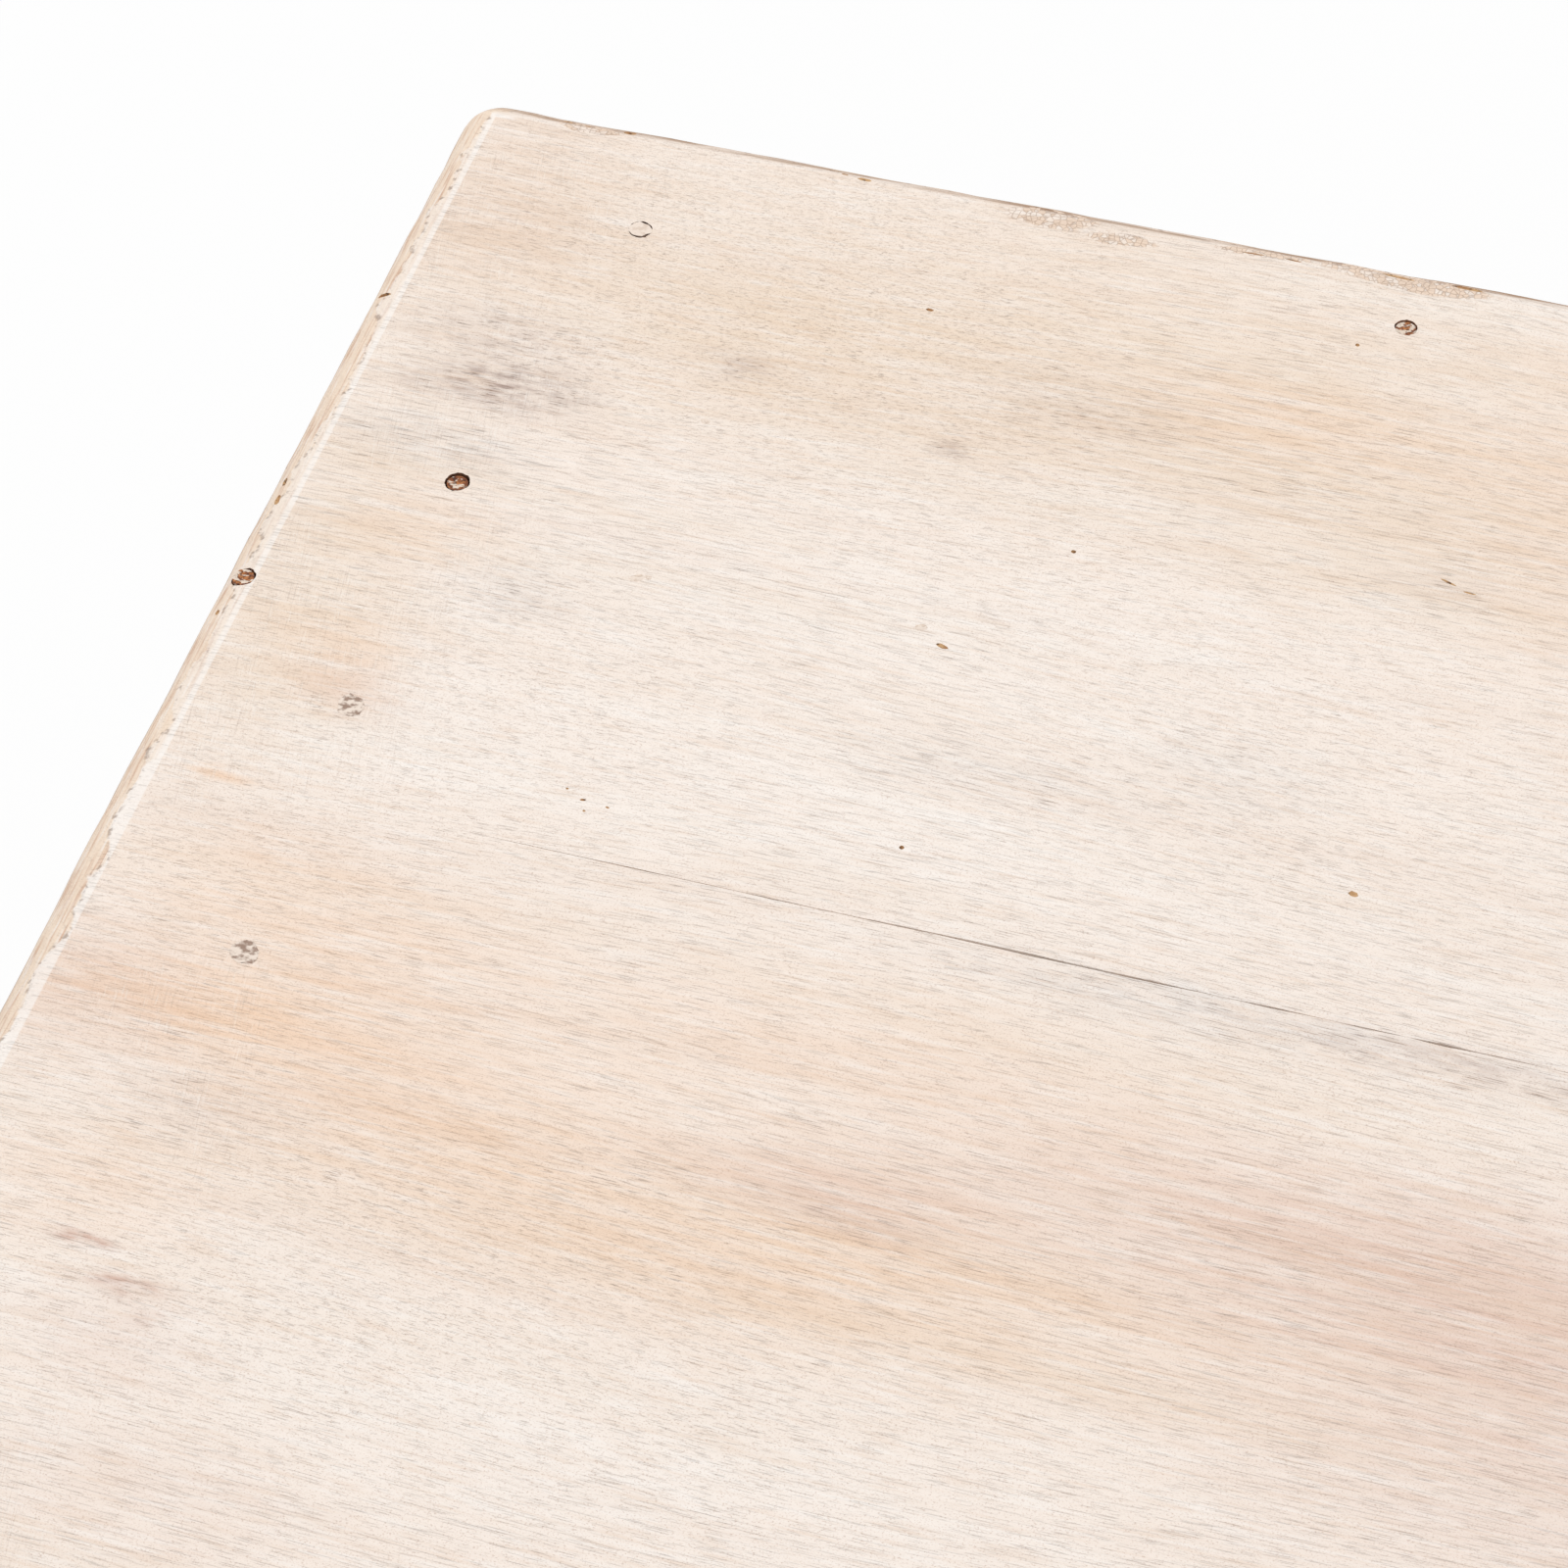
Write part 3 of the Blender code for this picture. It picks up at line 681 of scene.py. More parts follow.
@dataclass(frozen=True)
class LimePutty:
    """Lime putty pressed over a set nail: chalky like the wash, with rust shadows showing through."""

    name: str
    shadows: Veil
    putty: Hex = "#F1E1D3"
    relief: float = 0.08
    rough: float = 0.8

    def material(self) -> bpy.types.Material:
        """Make the material and hand it back."""
        graph = Graph.of_material(self.name)
        spot = graph.place()
        colour = graph.veil(linear(self.putty), self.shadows, spot)
        return graph.surface(colour, graph.figure(spot, self.shadows.figure), self.relief, self.rough)


@contextmanager
def editing(block: Piece, element: str) -> Iterator[None]:
    """Open a mesh in edit mode with nothing selected, and close it again.

    Args:
        block: the object to shape.
        element: the selection mode, VERT, EDGE or FACE.
    """
    make_active(block)
    bpy.ops.object.mode_set(mode="EDIT")
    bpy.ops.mesh.select_mode(type=element)
    bpy.ops.mesh.select_all(action="DESELECT")
    yield
    bpy.ops.object.mode_set(mode="OBJECT")


def make_active(block: Piece) -> None:
    """Select one object alone."""
    for other in bpy.context.selected_objects:
        other.select_set(False)
    block.select_set(True)
    bpy.context.view_layer.objects.active = block


def select_edges(block: Piece, test: Callable[[bmesh.types.BMEdge], bool]) -> None:
    """Select the edges that pass a test."""
    mesh = bmesh.from_edit_mesh(block.data)
    for edge in mesh.edges:
        if test(edge):
            edge.select_set(True)
    bmesh.update_edit_mesh(block.data)


def select_faces(block: Piece, test: Callable[[bmesh.types.BMFace], bool]) -> None:
    """Select the faces that pass a test."""
    mesh = bmesh.from_edit_mesh(block.data)
    for face in mesh.faces:
        if test(face):
            face.select_set(True)
    bmesh.update_edit_mesh(block.data)


def start_block(name: str, low: Vector, high: Vector) -> Piece:
    """Add a block between two corners, with its place in its mesh.

    Args:
        name: the piece's name.
        low: its lowest corner.
        high: its highest corner.

    Returns:
        The new block.
    """
    bpy.ops.object.select_all(action="DESELECT")
    bpy.ops.mesh.primitive_cube_add(size=1.0, location=(low + high) / 2)
    block = bpy.context.active_object
    block.name = name
    block.data.name = name
    block.scale = high - low
    bpy.ops.object.transform_apply(location=True, rotation=True, scale=True)
    return block


def score(block: Piece, axis: int, places: tuple[float, ...]) -> None:
    """Cut lines round a block at places along an axis."""
    normal = Vector((0.0, 0.0, 0.0))
    normal[axis] = 1.0
    with editing(block, "FACE"):
        for place in places:
            bpy.ops.mesh.select_all(action="SELECT")
            bpy.ops.mesh.bisect(plane_co=normal * place, plane_no=normal)


def divide(block: Piece, axis: int, low: float, high: float, pitch: float) -> None:
    """Split the edges that run along an axis between two places.

    Args:
        block: the object to shape.
        axis: the axis that the edges run along.
        low: where the edges start.
        high: where they end.
        pitch: about how long the new edges are.
    """

    def runs(edge: bmesh.types.BMEdge) -> bool:
        ends = sorted(vert.co[axis] for vert in edge.verts)
        return abs(ends[0] - low) < TOUCH and abs(ends[1] - high) < TOUCH

    with editing(block, "EDGE"):
        select_edges(block, runs)
        bpy.ops.mesh.subdivide(number_cuts=max(1, round((high - low) / pitch) - 1))


def round_over(
    block: Piece, test: Callable[[bmesh.types.BMEdge], bool], radius: float, steps: int
) -> None:
    """Round the edges that pass a test.

    Args:
        block: the object to shape.
        test: which edges to round.
        radius: the arc's radius.
        steps: how many faces the arc has.
    """
    with editing(block, "EDGE"):
        select_edges(block, test)
        bpy.ops.mesh.bevel(
            offset=radius, segments=steps, profile=0.5, affect="EDGES", clamp_overlap=False
        )


def settle(block: Piece, modifier: bpy.types.Modifier) -> None:
    """Apply a modifier."""
    make_active(block)
    bpy.ops.object.modifier_apply(modifier=modifier.name)


def cut_with(block: Piece, tools: list[Piece]) -> None:
    """Cut tools out of a block, leave their finish on the cut faces, and clear them away."""
    rack = bpy.data.collections.new(f"{block.name}_tools")
    for tool in tools:
        rack.objects.link(tool)
    cuts = block.modifiers.new("cuts", "BOOLEAN")
    cuts.operation = "DIFFERENCE"
    cuts.solver = "EXACT"
    cuts.operand_type = "COLLECTION"
    cuts.collection = rack
    cuts.material_mode = "TRANSFER"
    settle(block, cuts)
    for tool in tools:
        bpy.data.objects.remove(tool)
    bpy.data.collections.remove(rack)


def copy_of(model: Piece, name: str, place: Matrix) -> Piece:
    """Copy a model with a mesh of its own, and set it in place.

    Args:
        model: what is copied.
        name: the copy's name.
        place: where it goes, how it is turned and how it is scaled.

    Returns:
        The copy, at the origin, with its place in its mesh.
    """
    copy = model.copy()
    copy.data = model.data.copy()
    copy.name = name
    copy.data.name = name
    copy.data.transform(place)
    copy.data.update()
    bpy.context.scene.collection.objects.link(copy)
    return copy


def join(piece: Piece, extra: Piece) -> None:
    """Make another object part of a piece."""
    make_active(piece)
    extra.select_set(True)
    bpy.ops.object.join()


def smooth(block: Piece) -> None:
    """Shade a piece smoothly, with crisp corners and flat faces that stay flat."""
    make_active(block)
    bpy.ops.object.shade_smooth_by_angle(angle=SMOOTH_BELOW)
    weighted = block.modifiers.new("flat_faces", "WEIGHTED_NORMAL")
    weighted.keep_sharp = True
    settle(block, weighted)


def register(piece: Piece, node: str) -> None:
    """Put a piece in the place of its CAD node.

    Args:
        piece: the finished piece.
        node: the CAD node that it stands for.
    """
    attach(piece, BODY)
    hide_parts(node)
    log.info("%s: %d faces, for %s", piece.name, len(piece.data.polygons), node)


@dataclass(frozen=True)
class Chip:
    """A chip or dent in a rim or face: its plan place, half-length, half-width, depth in millimetres and turn."""

    x: float
    y: float
    length: float
    width: float
    depth: float
    turn: float = 0.0

    def meets(self, other: "Chip") -> bool:
        """Whether the chip runs into another one."""
        near_along = abs(self.x - other.x) < 2 * (self.length + other.length)
        near_across = abs(self.y - other.y) < 2 * (self.width + other.width)
        return near_along and near_across


@dataclass(frozen=True)
class BoxSizes:
    """The box's own sizes, as the part's source gives them."""

    half_length: float
    half_width: float
    height: float
    seam_gap: float = 0.4 * MM
    rim_radius: float = 5.0 * MM
    corner_radius: float = 6.5 * MM
    arris: float = 0.6 * MM
    tongue_half: float = 3.175 * MM
    tongue_depth: float = 8.0 * MM
    tongue_stop: float = 20.0 * MM
    play: float = 0.3 * MM
    board: float = 19.05 * MM

    @property
    def half_mm(self) -> Triple:
        """Half the box along each axis, in millimetres."""
        return (self.half_length / MM, self.half_width / MM, self.height / 2 / MM)

    def skin(self, x: float, y: float, face: int) -> tuple[Vector, Vector]:
        """Find the surface of the top or the bottom at a plan place, round its rims as well.

        Args:
            x: the place along the box.
            y: the place across it.
            face: 1 for the top and -1 for the bottom.

        Returns:
            The point on the surface, and the surface's normal there.
        """
        x_in = self.half_length - abs(x)
        y_in = self.half_width - abs(y)
        shy = max(0.0, self.rim_radius - min(x_in, y_in))
        lean = math.asin(min(1.0, shy / self.rim_radius))
        drop = self.rim_radius * (1 - math.cos(lean))
        out = Vector((math.copysign(1, x), 0, 0)) if x_in < y_in else Vector((0, math.copysign(1, y), 0))
        normal = out * math.sin(lean) + Vector((0, 0, face)) * math.cos(lean)
        level = self.height - drop if face > 0 else drop
        return Vector((x, y, level)), normal


@dataclass
class Tools:
    """The cutters that shape the boards, each modelled once."""

    chip_finish: bpy.types.Material
    hole_finish: bpy.types.Material
    bare_finish: bpy.types.Material
    crumb_finish: bpy.types.Material
    head_hole: float = 1.75 * MM
    shank_hole: float = 1.5 * MM
    head_depth: float = 1.0 * MM
    hole_depth: float = 51.2 * MM
    open_mouth: float = 3.0 * MM
    covered_mouth: float = 0.2 * MM
    torn: float = 0.12 * MM

    def build(self) -> None:
        """Model the chip, the open nail hole and the one that wash has closed."""
        self.chip = self.model_chip()
        self.hole = self.model_hole(self.open_mouth)
        self.covered_hole = self.model_hole(self.covered_mouth)

    def model_chip(self) -> Piece:
        """Model the lump that a chip leaves: a ball of radius one, roughened."""
        bpy.ops.object.select_all(action="DESELECT")
        bpy.ops.mesh.primitive_ico_sphere_add(subdivisions=2, radius=1.0)
        chip = bpy.context.active_object
        chip.name = "chip_tool"
        lumps = bpy.data.textures.new("chip_lumps", "CLOUDS")
        lumps.noise_scale = 0.7
        rough = chip.modifiers.new("rough", "DISPLACE")
        rough.texture = lumps
        rough.texture_coords = "LOCAL"
        rough.strength = 0.7
        settle(chip, rough)
        chip.data.materials.append(self.chip_finish)
        return chip

    def model_hole(self, mouth: float) -> Piece:
        """Model the hole that a nail leaves.

        Args:
            mouth: how far the hole reaches above the nail's head.

        Returns:
            The tool, with the head's place at the origin.
        """
        bpy.ops.object.select_all(action="DESELECT")
        depth = mouth + self.head_depth
        bpy.ops.mesh.primitive_cylinder_add(
            vertices=22, radius=self.head_hole, depth=depth, location=(0, 0, mouth - depth / 2)
        )
        hole = bpy.context.active_object
        hole.name = "hole_tool"
        bpy.ops.object.transform_apply(location=True)
        with editing(hole, "VERT"):
            bpy.ops.mesh.select_all(action="SELECT")
            bpy.ops.transform.vertex_random(offset=self.torn, uniform=0.6, normal=0.0, seed=4)
        with editing(hole, "FACE"):
            select_faces(hole, lambda face: face.normal.z < -0.9)
            bpy.ops.mesh.inset(thickness=self.head_hole - self.shank_hole)
            bpy.ops.mesh.extrude_region_move(
                TRANSFORM_OT_translate={"value": (0, 0, self.head_depth - self.hole_depth)}
            )
        hole.data.materials.append(self.hole_finish)
        return hole

    def chip_at(self, sizes: BoxSizes, chip: Chip, face: int) -> Piece:
        """Set a chip tool into the surface of the top or the bottom.

        Args:
            sizes: the box's sizes.
            chip: the chip to cut.
            face: 1 for the top and -1 for the bottom.

        Returns:
            The tool, in place.
        """
        point, normal = sizes.skin(chip.x * MM, chip.y * MM, face)
        tall = max(chip.width, chip.depth) * MM
        middle = point + normal * (tall - chip.depth * MM)
        lean = Vector((0, 0, 1)).rotation_difference(normal).to_matrix().to_4x4()
        turn = Matrix.Rotation(math.radians(chip.turn), 4, "Z")
        size = Matrix.Diagonal((chip.length * MM, chip.width * MM, tall, 1.0))
        return copy_of(self.chip, "chip", Matrix.Translation(middle) @ lean @ turn @ size)

    def crumb_at(self, sizes: BoxSizes, crumb: Chip, face: int) -> Piece:
        """Set a crumb of dried wash on the surface, as tall as a chip of that shape is deep."""
        point, _ = sizes.skin(crumb.x * MM, crumb.y * MM, face)
        turn = Matrix.Rotation(math.radians(crumb.turn), 4, "Z")
        size = Matrix.Diagonal((crumb.length * MM, crumb.width * MM, crumb.depth * MM, 1.0))
        piece = copy_of(self.chip, "crumb", Matrix.Translation(point) @ turn @ size)
        piece.data.materials[0] = self.crumb_finish
        return piece

    def hole_at(self, nail: "Nail") -> Piece:
        """Set a hole tool where a nail is driven, a little oval as a hand-driven nail leaves it."""
        oval = Matrix.Diagonal((1.0 + nail.wander, 1.0 + nail.wander / 2, 1.0, 1.0))
        model = self.covered_hole if nail.state is NailState.COVERED else self.hole
        return copy_of(model, "hole", nail.place @ oval)

    def clear(self) -> None:
        """Take the tools out of the scene."""
        for tool in (self.chip, self.hole, self.covered_hole):
            bpy.data.objects.remove(tool)


class NailState(Enum):
    """What the years have done to a nail's head."""

    RUSTED = "rusted"
    PUTTIED = "puttied"
    WASHED = "washed"
    COVERED = "covered"


@dataclass(frozen=True)
class Nail:
    """A driven nail: its CAD node, its state, where its head is and how its axis lies."""

    node: str
    state: NailState
    place: Matrix
    wander: float

    def passes(self, board: str) -> bool:
        """Whether the nail goes into a board, as their CAD boxes say."""
        nail_low, nail_high = cad_box(self.node)
        low, high = cad_box(board)
        return all(nail_low[axis] < high[axis] and nail_high[axis] > low[axis] for axis in range(3))


@dataclass
class Nails:
    """Hand-driven finishing nails with small cupped heads, set a little below the wash."""

    states: dict[str, NailState]
    seed: int = 11
    head_radius: float = 1.6 * MM
    shank_radius: float = 1.2 * MM
    head_edge: float = 0.7 * MM
    head_taper: float = 0.9 * MM
    length: float = 50.8 * MM
    point: float = 4.0 * MM
    cup: float = 0.14 * MM
    set_depth: float = 0.5 * MM
    raised: float = 0.2 * MM
    film: float = 0.04 * MM
    ragged: float = 0.45 * MM
    sides: int = 22
    plug_sides: int = 12

    def find(self, sizes: BoxSizes) -> list[Nail]:
        """Find every nail among the CAD nodes.

        Args:
            sizes: the box's sizes.

        Returns:
            The nails, in the order of their names.
        """
        draw = random.Random(self.seed)
        choices = (NailState.RUSTED, NailState.PUTTIED, NailState.WASHED)
        found = []
        for node in sorted(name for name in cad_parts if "nail" in name):
            low, high = cad_box(node)
            middle = (low + high) / 2
            if high.z - low.z > high.y - low.y:
                face = Vector((0, 0, 1 if middle.z > sizes.height / 2 else -1))
            else:
                face = Vector((0, math.copysign(1, middle.y), 0))
            head = Vector(middle)
            for axis in range(3):
                if abs(face[axis]) > 0.5:
                    head[axis] = high[axis] if face[axis] > 0 else low[axis]
            lean = Vector((0, 0, 1)).rotation_difference(face).to_matrix().to_4x4()
            spin = Matrix.Rotation(draw.uniform(0, 2 * math.pi), 4, "Z")
            wander = draw.uniform(0.0, 0.12)
            state = self.states.get(node, draw.choice(choices))
            found.append(Nail(node, state, Matrix.Translation(head) @ lean @ spin, wander))
        return found

    def model_nail(self) -> Piece:
        """Model a nail below its own head: cupped head, taper, shank and point."""
        bpy.ops.object.select_all(action="DESELECT")
        bpy.ops.mesh.primitive_cylinder_add(
            vertices=self.sides,
            radius=self.head_radius,
            depth=self.head_edge,
            location=(0, 0, -self.head_edge / 2),
        )
        nail = bpy.context.active_object
        nail.name = "finishing_nail"
        bpy.ops.object.transform_apply(location=True)
        shank_end = self.point - self.length
        taper_end = -self.head_edge - self.head_taper
        with editing(nail, "FACE"):
            select_faces(nail, lambda face: face.normal.z < -0.9)
            steps = (
                (-self.head_edge, taper_end, self.shank_radius / self.head_radius),
                (taper_end, shank_end, 1.0),
                (shank_end, -self.length, 0.08),
            )
            for start, end, scale in steps:
                bpy.ops.mesh.extrude_region_move(TRANSFORM_OT_translate={"value": (0, 0, end - start)})
                bpy.ops.transform.resize(value=(scale, scale, 1.0), center_override=(0, 0, end))
        with editing(nail, "FACE"):
            select_faces(nail, lambda face: face.normal.z > 0.9)
            bpy.ops.mesh.inset(thickness=self.head_radius * 0.14)
            bpy.ops.mesh.inset(thickness=self.head_radius * 0.16)
            bpy.ops.transform.translate(value=(0, 0, -self.cup))
            bpy.ops.mesh.inset(thickness=self.head_radius * 0.4)
            bpy.ops.transform.translate(value=(0, 0, -self.cup * 0.4))
        return nail

    def model_plug(self, radius: float, spread: float) -> Piece:
        """Model the putty pressed over a set head: a plug with a ragged edge.

        Args:
            radius: the plug's radius in the hole.
            spread: how wide its ragged top is.

        Returns:
            The plug, standing on the head at the origin.
        """
        bpy.ops.object.select_all(action="DESELECT")
        tall = self.set_depth - self.film
        bpy.ops.mesh.primitive_cylinder_add(
            vertices=self.plug_sides, radius=radius, depth=tall, location=(0, 0, tall / 2)
        )
        plug = bpy.context.active_object
        bpy.ops.object.transform_apply(location=True)
        level = self.set_depth + self.film
        wider = spread / radius
        with editing(plug, "FACE"):
            select_faces(plug, lambda face: face.normal.z > 0.9)
            bpy.ops.mesh.extrude_region_move(TRANSFORM_OT_translate={"value": (0, 0, level - tall)})
            bpy.ops.transform.resize(value=(wider, wider, 1.0), center_override=(0, 0, level))
            bpy.ops.transform.vertex_random(offset=self.ragged, uniform=0.5, normal=0.0, seed=7)
            bpy.ops.transform.resize(value=(1.0, 1.0, 0.0), center_override=(0, 0, level))
        return plug

    def build(self, nails: list[Nail]) -> None:
        """Make every nail from the one model, plug the heads that are plugged, and dress them.

        Args:
            nails: the nails to make.
        """
        rusted = RustedSteel("rusted_wire_nail", (0.50, 0.57)).material()
        faint = Veil("#B08D6E", Figure((0.9, 0.5, 0.5), 2.0, (0.46, 0.62), (0.0, 0.3)))
        dark = Veil("#8A6A58", Figure((1.2, 0.9, 0.9), 3.0, (0.42, 0.62), (0.0, 0.85)))
        putties = {
            NailState.PUTTIED: LimePutty("lime_putty", faint).material(),
            NailState.WASHED: LimePutty("rust_shadowed_putty", dark).material(),
        }
        model = self.model_nail()
        plugs = {
            NailState.PUTTIED: self.model_plug(1.3 * MM, 1.66 * MM),
            NailState.WASHED: self.model_plug(1.5 * MM, 1.95 * MM),
        }
        for nail in nails:
            lift = self.raised if nail.state is NailState.RUSTED else 0.0
            place = nail.place @ Matrix.Translation((0, 0, lift))
            piece = copy_of(model, f"{nail.node}_driven", place)
            piece.data.materials.append(rusted)
            if nail.state in plugs:
                plug = copy_of(plugs[nail.state], "plug", nail.place)
                plug.data.materials.append(putties[nail.state])
                join(piece, plug)
            smooth(piece)
            register(piece, nail.node)
        for spare in (model, *plugs.values()):
            bpy.data.objects.remove(spare)


@dataclass
class CoverBoard:
    """One board of the top or the bottom, with a worn round rim on its three outer edges."""

    node: str
    outer: int
    face: int
    sizes: BoxSizes
    finish: bpy.types.Material
    chips: tuple[Chip, ...]
    crumbs: tuple[Chip, ...]
    margin: float = 9.0 * MM
    pitch_along: float = 2.0 * MM
    pitch_across: float = 4.0 * MM
    rim_steps: int = 7
    rim_uneven: float = 0.5 * MM
    filled_to: float = 44.0 * MM
    open_from: float = 120.0 * MM
    seam_wander: float = 0.16 * MM

    def build(self, tools: Tools, nails: list[Nail]) -> Piece:
        """Shape the board from a block.

        Args:
            tools: the cutters.
            nails: the nails that may go through it.

        Returns:
            The board, dressed.
        """
        sizes = self.sizes
        low, high = (corner.copy() for corner in cad_box(self.node))
        seam = self.outer * sizes.seam_gap / 2
        low.y, high.y = sorted((seam, self.outer * sizes.half_width))
        board = start_block(f"{self.node}_limed", low, high)
        self.lay_grid(board, seam)
        self.clear_middle(board)
        self.round_corners(board)
        self.cut_joint(board, seam)
        self.open_seam(board, seam)
        self.wear_rim(board)
        self.dress(board, tools)
        cutters = [tools.chip_at(sizes, chip, self.face) for chip in self.chips]
        cutters += [tools.hole_at(nail) for nail in nails if nail.passes(self.node)]
        cut_with(board, cutters)
        for crumb in self.crumbs:
            join(board, tools.crumb_at(sizes, crumb, self.face))
        smooth(board)
        return board

    def lay_grid(self, board: Piece, seam: float) -> None:
        """Score the block into a grid that the rim and the seam can follow."""
        sizes = self.sizes
        x_end = sizes.half_length - self.margin
        x_stop = sizes.half_length - sizes.tongue_stop
        y_end = self.outer * (sizes.half_width - self.margin)
        score(board, 0, (-x_end, -x_stop, x_stop, x_end))
        score(board, 1, (y_end,))
        for low, high in ((-x_end, -x_stop), (-x_stop, x_stop), (x_stop, x_end)):
            divide(board, 0, low, high, self.pitch_along)
        y_low, y_high = sorted((seam, y_end))
        divide(board, 1, y_low, y_high, self.pitch_across)

    def clear_middle(self, board: Piece) -> None:
        """Merge the faces of the grid that lie well inside the two flat faces."""
        sizes = self.sizes

        def well_inside(face: bmesh.types.BMFace) -> bool:
            spot = face.calc_center_median()
            off_ends = abs(spot.x) < sizes.half_length - self.margin
            off_edges = 3 * self.pitch_across / 4 < abs(spot.y) < sizes.half_width - self.margin
            return abs(face.normal.z) > 0.9 and off_ends and off_edges

        with editing(board, "FACE"):
            select_faces(board, well_inside)
            bpy.ops.mesh.dissolve_faces()

    def round_corners(self, board: Piece) -> None:
        """Round the plan corners, then run the rim round the face and ease the inner arris."""
        sizes = self.sizes
        y_out = self.outer * sizes.half_width
        z_face = sizes.height if self.face > 0 else 0.0
        z_inner = z_face - self.face * sizes.board

        def upright_corner(edge: bmesh.types.BMEdge) -> bool:
            first, second = (vert.co for vert in edge.verts)
            upright = abs(first.x - second.x) < TOUCH and abs(first.y - second.y) < TOUCH
            at_end = abs(abs(first.x) - sizes.half_length) < TOUCH
            return upright and at_end and abs(first.y - y_out) < TOUCH

        def border(edge: bmesh.types.BMEdge, level: float) -> bool:
            on_level = all(abs(vert.co.z - level) < TOUCH for vert in edge.verts)
            at_seam = all(abs(vert.co.y) < sizes.seam_gap for vert in edge.verts)
            flat = [abs(face.normal.z) > 0.9 for face in edge.link_faces]
            return on_level and not at_seam and flat.count(True) == 1

        round_over(board, upright_corner, sizes.corner_radius, self.rim_steps + 1)
        round_over(board, lambda edge: border(edge, z_face), sizes.rim_radius, self.rim_steps)
        round_over(board, lambda edge: border(edge, z_inner), sizes.arris, 2)

    def cut_joint(self, board: Piece, seam: float) -> None:
        """Pull the tongue out of the back board's seam, or push the groove into the front board's."""
        sizes = self.sizes
        z_face = sizes.height if self.face > 0 else 0.0
        middle = z_face - self.face * sizes.board / 2
        play = 0.0 if self.outer > 0 else sizes.play
        half = sizes.tongue_half + play
        x_stop = sizes.half_length - sizes.tongue_stop

        def on_seam(face: bmesh.types.BMFace) -> bool:
            spot = face.calc_center_median()
            return abs(spot.y - seam) < TOUCH and abs(spot.x) < x_stop

        with editing(board, "FACE"):
            for level in (middle - half, middle + half):
                select_faces(board, on_seam)
                bpy.ops.mesh.bisect(plane_co=(0, 0, level), plane_no=(0, 0, 1))
                bpy.ops.mesh.select_all(action="DESELECT")
            select_faces(
                board,
                lambda face: on_seam(face) and abs(face.calc_center_median().z - middle) < half,
            )
            depth = -(sizes.tongue_depth + sizes.seam_gap / 2 - play)
            bpy.ops.mesh.extrude_region_move(TRANSFORM_OT_translate={"value": (0, depth, 0)})

    def wear_rim(self, board: Piece) -> None:
        """Make the rounded rim uneven, as handling and rubbing leave it."""
        sizes = self.sizes
        rim = board.vertex_groups.new(name="rim")
        z_face = sizes.height if self.face > 0 else 0.0
        for vert in board.data.vertices:
            depths = sorted(
                (
                    sizes.half_length - abs(vert.co.x),
                    sizes.half_width - abs(vert.co.y),
                    abs(z_face - vert.co.z),
                )
            )
            weight = 1.0 - min(1.0, max(0.0, (depths[1] - 2.5 * MM) / (3.5 * MM)))
            weight *= min(1.0, max(0.0, abs(vert.co.y) / MM - 1.0) / 6.0)
            if weight > 0.0:
                rim.add([vert.index], weight, "REPLACE")
        waves = bpy.data.textures.new("rim_waves", "CLOUDS")
        waves.noise_scale = 9.0 * MM
        waves.noise_depth = 2
        uneven = board.modifiers.new("uneven", "DISPLACE")
        uneven.texture = waves
        uneven.texture_coords = "LOCAL"
        uneven.vertex_group = "rim"
        uneven.strength = self.rim_uneven
        uneven.mid_level = 0.75
        settle(board, uneven)

    def open_seam(self, board: Piece, seam: float) -> None:
        """Let the seam wander and open along the board, from the left end where old wash has filled it."""
        sizes = self.sizes
        z_face = sizes.height if self.face > 0 else 0.0
        for vert in board.data.vertices:
            if abs(vert.co.y - seam) > TOUCH:
                continue
            along = vert.co.x + sizes.half_length
            opened = min(1.0, max(0.0, (along - self.filled_to) / (self.open_from - self.filled_to)))
            ragged = noise.noise(Vector((along / (5.0 * MM), 3.7, 0.0)))
            gap = sizes.seam_gap * opened * max(0.03, 0.65 + 1.3 * ragged) + 0.012 * MM
            line = 0.0
            if abs(vert.co.z - z_face) < sizes.arris:
                line = self.seam_wander * opened * noise.noise(Vector((along / (22.0 * MM), 9.1, 0.0)))
            vert.co.y = self.outer * gap / 2 + line

    def dress(self, board: Piece, tools: Tools) -> None:
        """Lime the outside and leave the underside bare."""
        sizes = self.sizes
        board.data.materials.append(self.finish)
        board.data.materials.append(tools.bare_finish)
        z_face = sizes.height if self.face > 0 else 0.0
        for face in board.data.polygons:
            if abs(face.center.z - z_face) > sizes.board - sizes.arris / 4:
                face.material_index = 1


